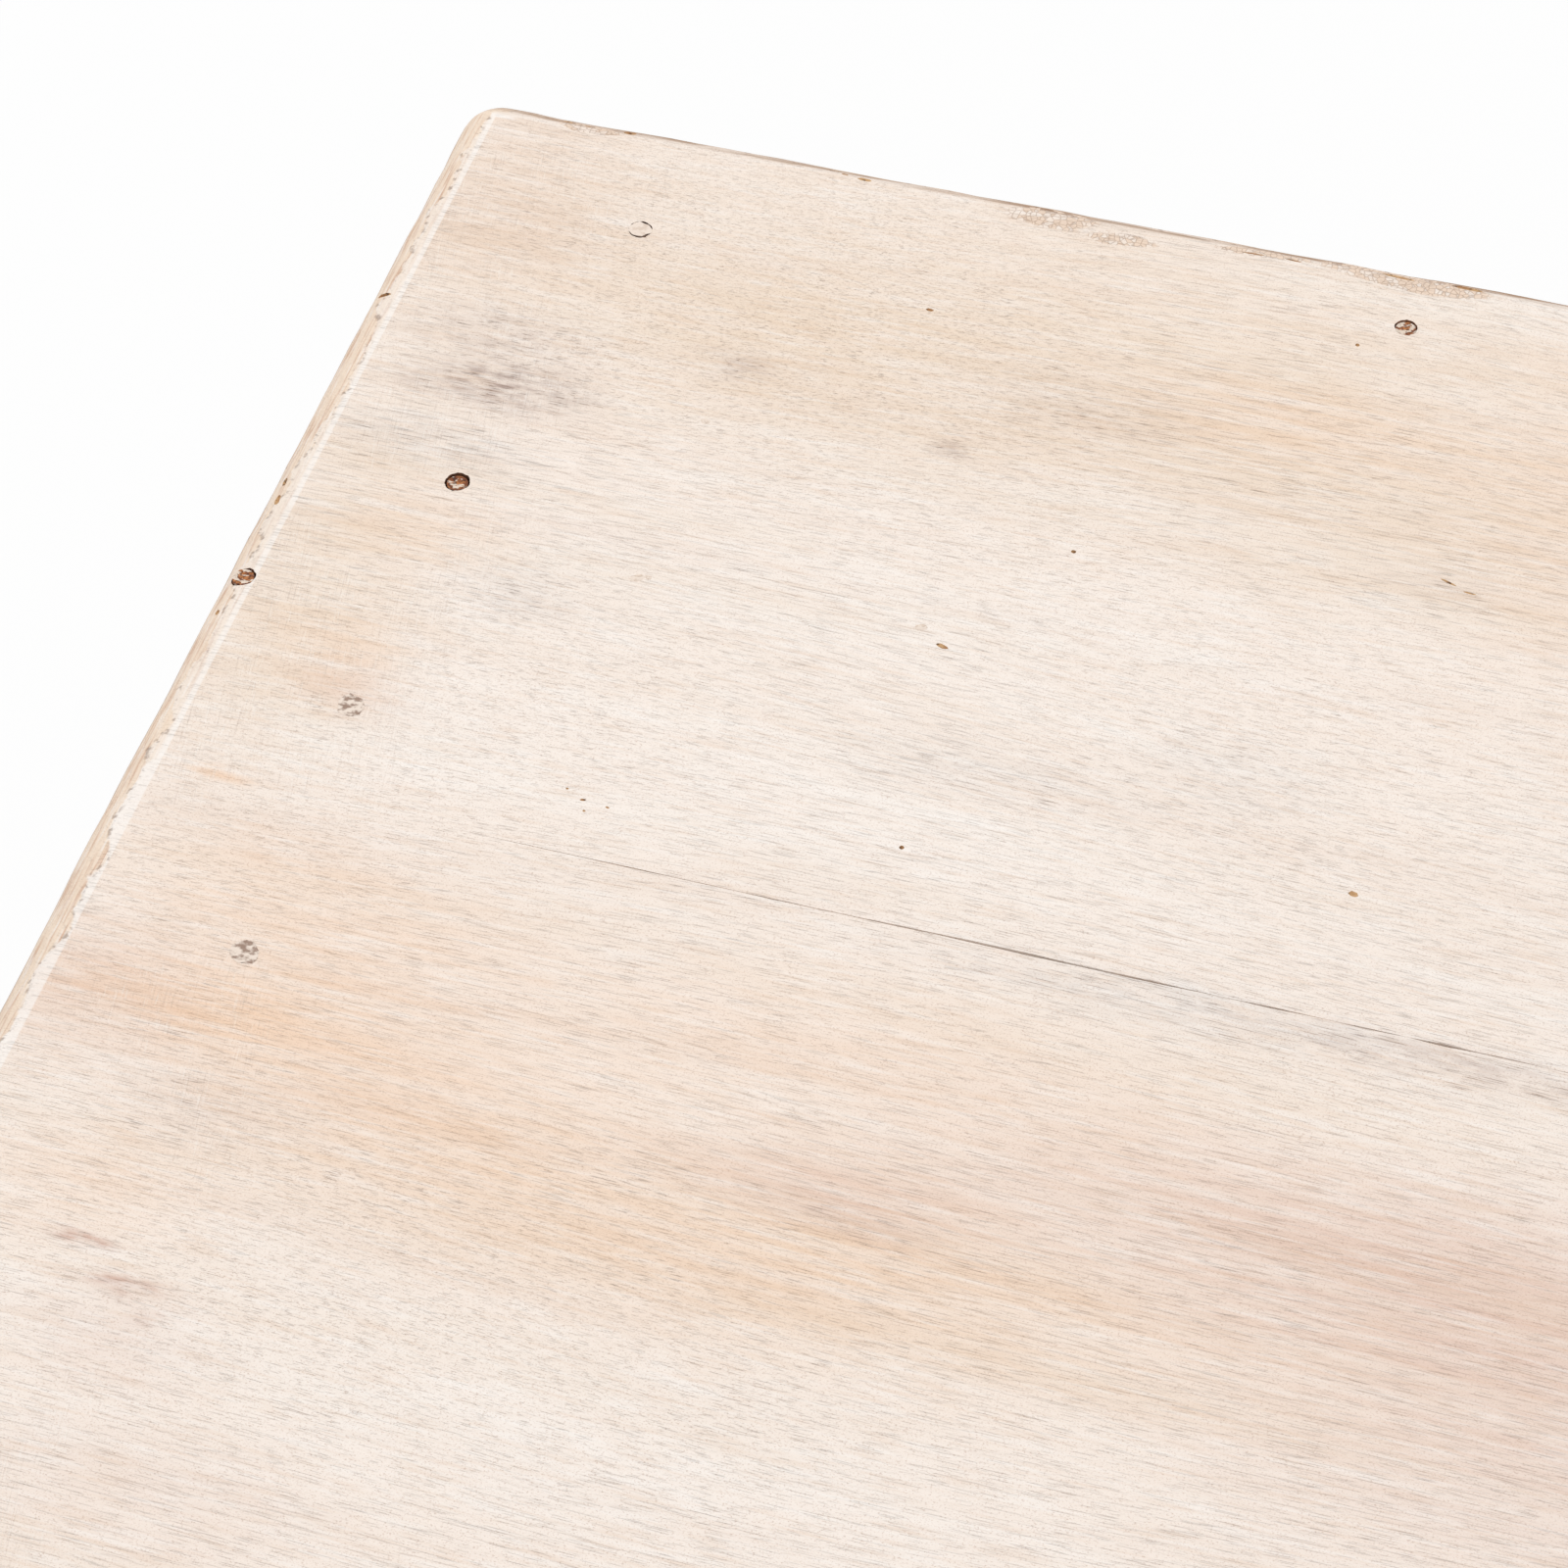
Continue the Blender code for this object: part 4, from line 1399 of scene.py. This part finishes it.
@dataclass
class SideWall:
    """A long wall, rabbeted for the ends and grooved across for the rib."""

    node: str
    outer: int
    sizes: BoxSizes
    finish: bpy.types.Material
    rabbet: float = 6.35 * MM
    groove_half: float = 9.825 * MM
    corner_steps: int = 8
    overrun: float = 2.0 * MM

    def build(self, tools: Tools, nails: list[Nail]) -> Piece:
        """Shape the wall from a block.

        Args:
            tools: the cutters.
            nails: the nails that may go through it.

        Returns:
            The wall, dressed.
        """
        sizes = self.sizes
        low, high = cad_box(self.node)
        wall = start_block(f"{self.node}_limed", low, high)
        y_out = self.outer * sizes.half_width
        y_inner = self.outer * (sizes.half_width - sizes.board)

        def upright_corner(edge: bmesh.types.BMEdge) -> bool:
            first, second = (vert.co for vert in edge.verts)
            upright = abs(first.z - second.z) > sizes.board
            return upright and abs(first.y - y_out) < TOUCH

        def long_arris(edge: bmesh.types.BMEdge) -> bool:
            flat = [abs(face.normal.z) > 0.9 for face in edge.link_faces]
            at_inner = all(abs(vert.co.y - y_inner) < TOUCH for vert in edge.verts)
            return flat.count(True) == 1 and not at_inner

        round_over(wall, upright_corner, sizes.corner_radius, self.corner_steps)
        round_over(wall, long_arris, sizes.arris, 2)
        wall.data.materials.append(self.finish)
        wall.data.materials.append(tools.bare_finish)
        for face in wall.data.polygons:
            if abs(face.center.y - y_inner) < TOUCH:
                face.material_index = 1
        cutters = [tools.hole_at(nail) for nail in nails if nail.passes(self.node)]
        cutters += self.joint_cutters(tools, low, high)
        cut_with(wall, cutters)
        smooth(wall)
        return wall

    def joint_cutters(self, tools: Tools, low: Vector, high: Vector) -> list[Piece]:
        """Make the blocks that cut the two rabbets and the groove.

        Args:
            tools: the cutters' finishes.
            low: the wall's lowest corner.
            high: its highest corner.

        Returns:
            The three blocks, in place.
        """
        sizes = self.sizes
        end_inner = sizes.half_length - sizes.board - sizes.play
        spans = (
            (-sizes.half_length - self.overrun, -end_inner),
            (-self.groove_half, self.groove_half),
            (end_inner, sizes.half_length + self.overrun),
        )
        inner = sizes.half_width - sizes.board
        y_low, y_high = sorted((self.outer * (inner - self.overrun), self.outer * (inner + self.rabbet)))
        blocks = []
        for x_low, x_high in spans:
            block = start_block(
                "joint_cutter",
                Vector((x_low, y_low, low.z - self.overrun)),
                Vector((x_high, y_high, high.z + self.overrun)),
            )
            block.data.materials.append(tools.bare_finish)
            blocks.append(block)
        return blocks


@dataclass
class EndWall:
    """A short wall with a rounded handhold through it."""

    node: str
    outer: int
    sizes: BoxSizes
    finish: bpy.types.Material
    slot_length: float = 108.0 * MM
    slot_height: float = 32.0 * MM
    slot_rim: float = 3.0 * MM
    slot_steps: int = 10
    rim_steps: int = 5
    overrun: float = 2.0 * MM

    def build(self, tools: Tools, nails: list[Nail]) -> Piece:
        """Shape the wall from a block.

        Args:
            tools: the cutters.
            nails: the nails that may go through it.

        Returns:
            The wall, dressed.
        """
        sizes = self.sizes
        low, high = cad_box(self.node)
        wall = start_block(f"{self.node}_limed", low, high)
        x_out = self.outer * sizes.half_length
        x_inner = self.outer * (sizes.half_length - sizes.board)
        wall.data.materials.append(self.finish)
        wall.data.materials.append(tools.bare_finish)
        for face in wall.data.polygons:
            if abs(face.center.x - x_inner) < TOUCH:
                face.material_index = 1
        middle = (low + high) / 2
        cut_with(wall, [self.slot_cutter(low, high)])
        half = Vector((0, self.slot_length / 2 + TOUCH, self.slot_height / 2 + TOUCH))

        def slot_edge(edge: bmesh.types.BMEdge) -> bool:
            in_slot = all(
                abs(vert.co.y - middle.y) < half.y and abs(vert.co.z - middle.z) < half.z
                for vert in edge.verts
            )
            first, second = (vert.co for vert in edge.verts)
            flat = [abs(face.normal.x) > 0.9 for face in edge.link_faces]
            return in_slot and abs(first.x - second.x) < TOUCH and flat.count(True) == 1

        def outer_arris(edge: bmesh.types.BMEdge) -> bool:
            on_face = all(abs(vert.co.x - x_out) < TOUCH for vert in edge.verts)
            flat = [abs(face.normal.x) > 0.9 for face in edge.link_faces]
            return on_face and flat.count(True) == 1 and not slot_edge(edge)

        round_over(wall, slot_edge, self.slot_rim, self.rim_steps)
        round_over(wall, outer_arris, sizes.arris, 2)
        cut_with(wall, [tools.hole_at(nail) for nail in nails if nail.passes(self.node)])
        smooth(wall)
        return wall

    def slot_cutter(self, low: Vector, high: Vector) -> Piece:
        """Make the plug that cuts the handhold: a bar with fully rounded ends.

        Args:
            low: the wall's lowest corner.
            high: its highest corner.

        Returns:
            The plug, in place.
        """
        middle = (low + high) / 2
        half = Vector(
            (self.sizes.board / 2 + self.overrun, self.slot_length / 2, self.slot_height / 2)
        )
        plug = start_block("slot_cutter", middle - half, middle + half)

        def through(edge: bmesh.types.BMEdge) -> bool:
            first, second = (vert.co for vert in edge.verts)
            return abs(first.x - second.x) > half.x

        round_over(plug, through, half.z - TOUCH * 5, self.slot_steps)
        plug.data.materials.append(self.finish)
        return plug


@dataclass
class Wear:
    """Stains and chips for the sides of the box that the photograph doesn't show."""

    sizes: BoxSizes
    seed: int

    def __post_init__(self) -> None:
        """Start the draw."""
        self.draw = random.Random(self.seed)

    def stains(self, low: Vector, high: Vector, grain: Grain, count: int) -> tuple[Mark, ...]:
        """Scatter stains over a board, longer along its grain.

        Args:
            low: the board's lowest corner.
            high: its highest corner.
            grain: which way the stains are longer.
            count: how many stains to make.

        Returns:
            The stains.
        """
        kinds = (
            (Stain.WHITE, Depth.CLEAR),
            (Stain.YELLOW, Depth.CLEAR),
            (Stain.OCHRE, Depth.SOFT),
            (Stain.PINK, Depth.SOFT),
            (Stain.GREY, Depth.SOFT),
            (Stain.MAUVE, Depth.FAINT),
        )
        marks = []
        for index in range(count):
            stain, depth = kinds[index % len(kinds)]
            middle = tuple(self.draw.uniform(low[axis], high[axis]) / MM for axis in range(3))
            long = self.draw.uniform(30.0, 90.0)
            wide = self.draw.uniform(10.0, 26.0)
            reach = (long, wide, wide) if grain is Grain.ALONG_BOX else (wide, long, wide)
            marks.append(Mark(stain, middle, reach, depth))
        return tuple(marks)

    def rim_chips(self, count: int, spared: Callable[[float, float], bool]) -> tuple[Chip, ...]:
        """Scatter chips round the rims of the top or the bottom.

        Args:
            count: how many places to try.
            spared: which plan places, in millimetres, get none.

        Returns:
            The chips.
        """
        half_x, half_y, _ = self.sizes.half_mm
        chips = []
        for _ in range(count):
            inwards = self.draw.uniform(1.0, 4.2)
            along = self.draw.uniform(-1.0, 1.0)
            side = self.draw.choice((-1, 1))
            long = self.draw.uniform(0.7, 3.0)
            wide = self.draw.uniform(0.4, 0.9)
            depth = self.draw.uniform(0.2, 0.5)
            if self.draw.random() < half_y / (half_x + half_y):
                chip = Chip(side * (half_x - inwards), along * (half_y - 9.0), wide, long, depth)
            else:
                chip = Chip(along * (half_x - 9.0), side * (half_y - inwards), long, wide, depth)
            if not spared(chip.x, chip.y) and not any(chip.meets(other) for other in chips):
                chips.append(chip)
        return tuple(chips)


def photo_marks(sizes: BoxSizes) -> tuple[Mark, ...]:
    """Stains of the photographed corner, measured from the left end and the back edge.

    Args:
        sizes: the box's sizes.

    Returns:
        The stains, in the box's own frame.
    """
    seen = (
        # Yellowed wash along the back, and along the left end
        (Stain.YELLOW, 100, 36, 170, 58, Depth.CLEAR),
        (Stain.YELLOW, 120, 40, 95, 26, Depth.FAINT),
        (Stain.YELLOW, 60, 46, 40, 24, Depth.SOFT),
        (Stain.YELLOW, 165, 62, 60, 26, Depth.SOFT),
        (Stain.YELLOW, 16, 26, 36, 40, Depth.SOFT),
        (Stain.YELLOW, 14, 110, 26, 60, Depth.CLEAR),
        (Stain.PINK, 14, 26, 30, 40, Depth.FAINT),
        (Stain.OCHRE, 150, 42, 46, 14, Depth.SOFT),
        (Stain.OCHRE, 192, 44, 30, 60, Depth.SOFT),
        (Stain.OCHRE, 26, 98, 20, 13, Depth.SOFT),
        (Stain.OCHRE, 24, 126, 18, 14, Depth.SOFT),
        (Stain.PINK, 27, 132, 14, 8, Depth.SOFT),
        (Stain.OCHRE, 15, 152, 10, 2, Depth.STRONG),
        # Whiter wash in the middle and near the front
        (Stain.WHITE, 95, 95, 95, 30, Depth.CLEAR),
        (Stain.WHITE, 105, 137, 100, 20, Depth.CLEAR),
        (Stain.WHITE, 42, 136, 26, 18, Depth.SOFT),
        (Stain.WHITE, 95, 243, 110, 22, Depth.CLEAR),
        # The warm band in front of the seam
        (Stain.OCHRE, 34, 172, 46, 20, Depth.CLEAR),
        (Stain.YELLOW, 105, 210, 100, 22, Depth.SOFT),
        (Stain.OCHRE, 44, 194, 66, 22, Depth.CLEAR),
        (Stain.OCHRE, 30, 190, 34, 10, Depth.CLEAR),
        (Stain.OCHRE, 110, 178, 100, 22, Depth.SOFT),
        (Stain.OCHRE, 105, 208, 110, 24, Depth.CLEAR),
        (Stain.OCHRE, 24, 224, 28, 18, Depth.SOFT),
        (Stain.PINK, 114, 198, 34, 9, Depth.CLEAR),
        (Stain.PINK, 180, 190, 90, 24, Depth.CLEAR),
        (Stain.PINK, 212, 206, 70, 44, Depth.CLEAR),
        (Stain.PINK, 10, 192, 26, 20, Depth.SOFT),
        (Stain.PINK, 36, 244, 22, 12, Depth.SOFT),
        (Stain.PINK, 45, 264, 42, 17, Depth.FAINT),
        (Stain.BROWN, 28, 231, 7, 2, Depth.STRONG),
        (Stain.BROWN, 33, 236, 7, 3, Depth.CLEAR),
        (Stain.BROWN, 39, 240, 6, 2, Depth.CLEAR),
        # Dirt in the open grain
        (Stain.MAUVE, 26, 66, 21, 8, Depth.STRONG),
        (Stain.MAUVE, 25, 55, 24, 10, Depth.SOFT),
        (Stain.MAUVE, 59, 52, 9, 6, Depth.SOFT),
        (Stain.MAUVE, 96, 61, 5, 3, Depth.CLEAR),
        (Stain.MAUVE, 118, 201, 20, 5, Depth.FAINT),
        (Stain.MAUVE, 190, 156, 45, 7, Depth.SOFT),
        (Stain.MAUVE, 34, 207, 24, 10, Depth.FAINT),
        (Stain.MAUVE, 172, 68, 15, 7, Depth.FAINT),
        (Stain.MAUVE, 112, 46, 26, 10, Depth.FAINT),
        (Stain.GREY, 20, 80, 24, 9, Depth.SOFT),
        (Stain.GREY, 43, 107, 14, 9, Depth.SOFT),
        (Stain.GREY, 118, 121, 30, 8, Depth.FAINT),
        (Stain.GREY, 150, 113, 22, 13, Depth.FAINT),
        (Stain.GREY, 145, 155, 50, 7, Depth.SOFT),
    )
    x_left = -sizes.half_length / MM
    y_back = sizes.half_width / MM
    z_top = sizes.height / MM
    return tuple(
        Mark(stain, (x_left + x, y_back - back, z_top), (long, wide, STAIN_RISE), depth)
        for stain, x, back, long, wide, depth in seen
    )


def photo_flakes(sizes: BoxSizes) -> tuple[Mark, ...]:
    """Patches of flaking wash along the photographed back rim, measured as the stains are."""
    seen = ((98, 5, 12, 4), (110, 7, 8, 2), (132, 4, 12, 2), (155, 4, 24, 4), (22, 4, 9, 2))
    x_left = -sizes.half_length / MM
    y_back = sizes.half_width / MM
    z_top = sizes.height / MM
    return tuple(
        Mark(Stain.OCHRE, (x_left + x, y_back - back, z_top), (long, wide, STAIN_RISE), Depth.STRONG)
        for x, back, long, wide in seen
    )


def photo_chips(sizes: BoxSizes) -> tuple[Chip, ...]:
    """Chips and dents of the photographed corner, measured from the left end and the back edge.

    Args:
        sizes: the box's sizes.

    Returns:
        The chips, in the box's own frame.
    """
    seen = (
        (2.4, 50.5, 2.0, 0.5, 0.45, 0),
        (2.2, 93.5, 0.8, 2.0, 0.45, 0),
        (2.6, 97.6, 1.0, 2.4, 0.50, 0),
        (2.4, 121.7, 0.7, 1.1, 0.35, 0),
        (27.5, 3.2, 1.3, 0.8, 0.50, 0),
        (17.0, 3.0, 1.6, 0.6, 0.30, 0),
        (20.5, 3.4, 1.1, 0.5, 0.25, 0),
        (66.8, 4.2, 2.0, 0.8, 0.30, 0),
        (63.5, 3.6, 1.2, 0.6, 0.25, 0),
        (129.8, 4.8, 3.4, 0.35, 0.15, 3),
        (136.0, 4.6, 2.4, 0.35, 0.15, -4),
        (152.0, 3.6, 6.0, 1.5, 0.28, 0),
        (163.0, 3.4, 5.0, 1.2, 0.25, 0),
        (104.8, 100.2, 1.2, 0.5, 0.22, -15),
        (118.5, 76.5, 0.40, 0.35, 0.30, 0),
        (149.7, 21.2, 0.35, 0.35, 0.30, 0),
        (84.8, 31.4, 0.9, 0.5, 0.15, 0),
        (172.0, 67.6, 1.6, 0.25, 0.12, -20),
        (175.4, 69.0, 1.2, 0.20, 0.10, -5),
        (170.3, 129.9, 1.2, 0.9, 0.18, 0),
        (109.3, 138.7, 0.40, 0.40, 0.25, 0),
        (61.9, 141.0, 0.25, 0.20, 0.12, 0),
        (64.6, 142.4, 0.55, 0.25, 0.12, 15),
        (65.4, 144.3, 0.25, 0.20, 0.12, 0),
        (68.3, 142.8, 0.35, 0.20, 0.12, -10),
    )
    x_left = -sizes.half_length / MM
    y_back = sizes.half_width / MM
    return tuple(Chip(x_left + x, y_back - back, *shape) for x, back, *shape in seen)


def photo_crumbs(sizes: BoxSizes) -> tuple[Chip, ...]:
    """Crumbs of dried wash on the photographed corner, measured as the chips are."""
    seen = (
        (58.9, 99.2, 1.1, 0.7, 0.22, 35),
        (60.4, 98.6, 0.6, 0.4, 0.16, -20),
        (101.1, 97.4, 0.9, 0.6, 0.2, 20),
        (58.9, 64.8, 0.7, 0.6, 0.2, 0),
    )
    x_left = -sizes.half_length / MM
    y_back = sizes.half_width / MM
    return tuple(Chip(x_left + x, y_back - back, *shape) for x, back, *shape in seen)


@dataclass(frozen=True)
class Studio:
    """A plain pale floor, soft lamps and the camera at the photograph's view."""

    look: Triple = (-0.16341, 0.02051, 0.2032)
    azimuth: float = 16.29
    elevation: float = 48.03
    roll: float = -0.224
    distance: float = 0.60282
    lens: float = 99.69
    sensor: float = 36.0
    room_light: float = 0.65
    floor_size: float = 8.0
    floor_shadow: float = 0.1

    def build(self) -> None:
        """Make the whole studio."""
        bpy.context.scene.view_settings.view_transform = "Standard"
        self.place_camera()
        self.place_lamps()
        self.light_room()
        self.lay_floor()

    def place_camera(self) -> None:
        """Put the camera where the photograph was taken from."""
        turn, rise, roll = (math.radians(a) for a in (self.azimuth, self.elevation, self.roll))
        level = math.cos(rise)
        back = Vector((math.sin(turn) * level, -math.cos(turn) * level, math.sin(rise)))
        right = Vector((math.cos(turn), math.sin(turn), 0.0))
        up = back.cross(right)
        across = right * math.cos(roll) + up * math.sin(roll)
        upward = up * math.cos(roll) - right * math.sin(roll)
        data = bpy.data.cameras.new("photo_view")
        data.lens = self.lens
        data.sensor_width = self.sensor
        camera = bpy.data.objects.new("photo_view", data)
        axes = Matrix((across, upward, back)).transposed().to_4x4()
        camera.matrix_world = Matrix.Translation(Vector(self.look) + back * self.distance) @ axes
        bpy.context.scene.collection.objects.link(camera)
        bpy.context.scene.camera = camera

    def place_lamps(self) -> None:
        """Light the box softly from above and behind, with a weaker lamp in front."""
        lamps = (
            ("overhead_softbox", (-0.5, 0.7, 1.7), 1.4, 11.6),
            ("front_softbox", (0.5, -1.9, 1.0), 1.4, 6.3),
        )
        for name, place, size, power in lamps:
            data = bpy.data.lights.new(name, "AREA")
            data.size = size
            data.energy = power
            lamp = bpy.data.objects.new(name, data)
            lamp.location = place
            aim = Vector((0.0, 0.0, 0.1)) - Vector(place)
            lamp.rotation_euler = aim.to_track_quat("-Z", "Y").to_euler()
            bpy.context.scene.collection.objects.link(lamp)

    def light_room(self) -> None:
        """Fill the room with even light, and show it as white behind the box."""
        world = bpy.data.worlds.new("white_room")
        bpy.context.scene.world = world
        graph = Graph.of_block(world)
        shown = self.seen_straight(graph)
        links = {"Value": shown, "To Min": self.room_light, "To Max": 1.0}
        level = graph.add("ShaderNodeMapRange", links)
        links = {"Color": linear("#FFFFFF"), "Strength": level}
        light = graph.add("ShaderNodeBackground", links)
        graph.add("ShaderNodeOutputWorld", {"Surface": light})

    def seen_straight(self, graph: Graph) -> Socket:
        """Tell the rays that show the room itself from those that light the box."""
        camera = graph.add("ShaderNodeLightPath", out="Is Camera Ray")
        rays = camera.node.outputs
        links = {0: camera, 1: rays["Is Glossy Ray"]}
        mirrored = graph.add("ShaderNodeMath", links, operation="MAXIMUM")
        links = {0: mirrored, 1: rays["Is Transmission Ray"]}
        return graph.add("ShaderNodeMath", links, operation="MAXIMUM")

    def lay_floor(self) -> None:
        """Lay a plain white floor that fades to white for the camera and keeps the box's shadow."""
        bpy.ops.object.select_all(action="DESELECT")
        bpy.ops.mesh.primitive_plane_add(size=self.floor_size, location=(0, 0, -0.2 * MM))
        floor = bpy.context.active_object
        floor.name = "floor"
        graph = Graph.of_material("white_paper")
        paper = graph.add("ShaderNodeBsdfDiffuse", {"Color": linear("#F6F6F6")})
        glow = graph.add("ShaderNodeEmission", {"Color": linear("#FFFFFF"), "Strength": 1.0})
        links = {0: self.seen_straight(graph), 1: 1.0 - self.floor_shadow}
        shown = graph.add("ShaderNodeMath", links, operation="MULTIPLY")
        surface = graph.add("ShaderNodeMixShader", {0: shown, 1: paper, 2: glow})
        graph.add("ShaderNodeOutputMaterial", {"Surface": surface})
        floor.data.materials.append(graph.block)
        floor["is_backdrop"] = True


@dataclass
class AppleBox:
    """The whole box: its boards, its nails and the bare battens inside it."""

    sizes: BoxSizes
    seed: int = 5
    top_stains: int = 10
    wall_stains: int = 14
    rim_tries: int = 60

    def build(self) -> None:
        """Build and dress every piece."""
        self.wear = Wear(self.sizes, self.seed)
        self.tools = Tools(
            ChippedPine("chipped_pine", "#D2AB7E", "#A5764C", "#5A3E2B").material(),
            ChippedPine("rust_stained_pine", "#8E5E40", "#603A24", "#2E1C14").material(),
            SawnPine("sawn_pine", Grain.ALONG_BOX).material(),
            LimePutty("lime_crumb", Veil("#E6D2C0", Figure((0.5, 0.4, 0.4), 1.0, (0.5, 0.7)))).material(),
        )
        self.tools.build()
        states = {
            "top_left_nail_1": NailState.PUTTIED,
            "top_left_nail_2": NailState.RUSTED,
            "top_left_nail_3": NailState.WASHED,
            "top_left_nail_4": NailState.WASHED,
            "top_left_nail_5": NailState.COVERED,
            "top_back_nail_1": NailState.RUSTED,
            "top_rim_nail": NailState.RUSTED,
        }
        nail_set = Nails(states)
        self.nails = nail_set.find(self.sizes)
        self.build_top()
        self.build_bottom()
        self.build_walls()
        self.dress_battens()
        nail_set.build(self.nails)
        self.tools.clear()

    def build_top(self) -> None:
        """Build the two boards of the top, with the photographed corner's own marks."""
        low, high = (corner.copy() for corner in cad_box("top_back_board"))
        low.x = 0.0
        low.y = -high.y
        stains = photo_marks(self.sizes)
        stains += self.wear.stains(low, high, Grain.ALONG_BOX, self.top_stains)
        flakes = photo_flakes(self.sizes)
        half_box = self.sizes.half_mm
        finish = LimedPine("limed_top", Grain.ALONG_BOX, half_box, stains, flakes).material()
        chips = photo_chips(self.sizes)
        chips += self.wear.rim_chips(self.rim_tries, lambda x, y: x < -60.0 and y > -60.0)
        self.build_pair("top", 1, finish, chips, photo_crumbs(self.sizes))

    def build_bottom(self) -> None:
        """Build the two boards of the bottom, made as the top is."""
        low, high = (corner.copy() for corner in cad_box("bottom_back_board"))
        low.y = -high.y
        stains = self.wear.stains(low, high, Grain.ALONG_BOX, self.wall_stains)
        finish = LimedPine("limed_bottom", Grain.ALONG_BOX, self.sizes.half_mm, stains).material()
        self.build_pair("bottom", -1, finish, self.wear.rim_chips(self.rim_tries, lambda x, y: False))

    def build_pair(
        self,
        which: str,
        face: int,
        finish: bpy.types.Material,
        chips: tuple[Chip, ...],
        crumbs: tuple[Chip, ...] = (),
    ) -> None:
        """Build the back and the front board of the top or the bottom.

        Args:
            which: top or bottom, as the CAD nodes are named.
            face: 1 for the top and -1 for the bottom.
            finish: what both boards are dressed in.
            chips: the chips of both boards.
            crumbs: the crumbs of wash on both boards.
        """
        for place, outer in (("back", 1), ("front", -1)):
            node = f"{which}_{place}_board"
            own_chips = tuple(chip for chip in chips if chip.y * outer > 0.0)
            own_crumbs = tuple(crumb for crumb in crumbs if crumb.y * outer > 0.0)
            board = CoverBoard(node, outer, face, self.sizes, finish, own_chips, own_crumbs)
            register(board.build(self.tools, self.nails), node)

    def build_walls(self) -> None:
        """Build the two long walls and the two ends."""
        walls = (
            (SideWall, "back_side", "front_side", 1, Grain.ALONG_BOX),
            (EndWall, "right_end", "left_end", 1, Grain.ACROSS_BOX),
        )
        for kind, plus, minus, _, grain in walls:
            low = cad_box(minus)[0]
            high = cad_box(plus)[1]
            stains = self.wear.stains(low, high, grain, self.wall_stains)
            name = "limed_sides" if kind is SideWall else "limed_ends"
            finish = LimedPine(name, grain, self.sizes.half_mm, stains).material()
            for node, outer in ((plus, 1), (minus, -1)):
                wall = kind(node, outer, self.sizes, finish)
                register(wall.build(self.tools, self.nails), node)

    def dress_battens(self) -> None:
        """Dress the rib and the cleats, which keep their CAD shapes, in bare pine."""
        bare = SawnPine("sawn_pine_across", Grain.ACROSS_BOX).material()
        for name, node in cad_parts.items():
            if not node.hide_render and "nail" not in name:
                node.data.materials[0] = bare
                log.info("%s: bare pine", name)


def main() -> None:
    """Measure the box's CAD size, build and dress the box to it, and light it."""
    logging.basicConfig(level=logging.INFO, format="%(message)s")
    cad_low, cad_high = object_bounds()
    AppleBox(BoxSizes(cad_high.x, cad_high.y, cad_high.z)).build()
    Studio().build()


if __name__ == "__main__":
    main()
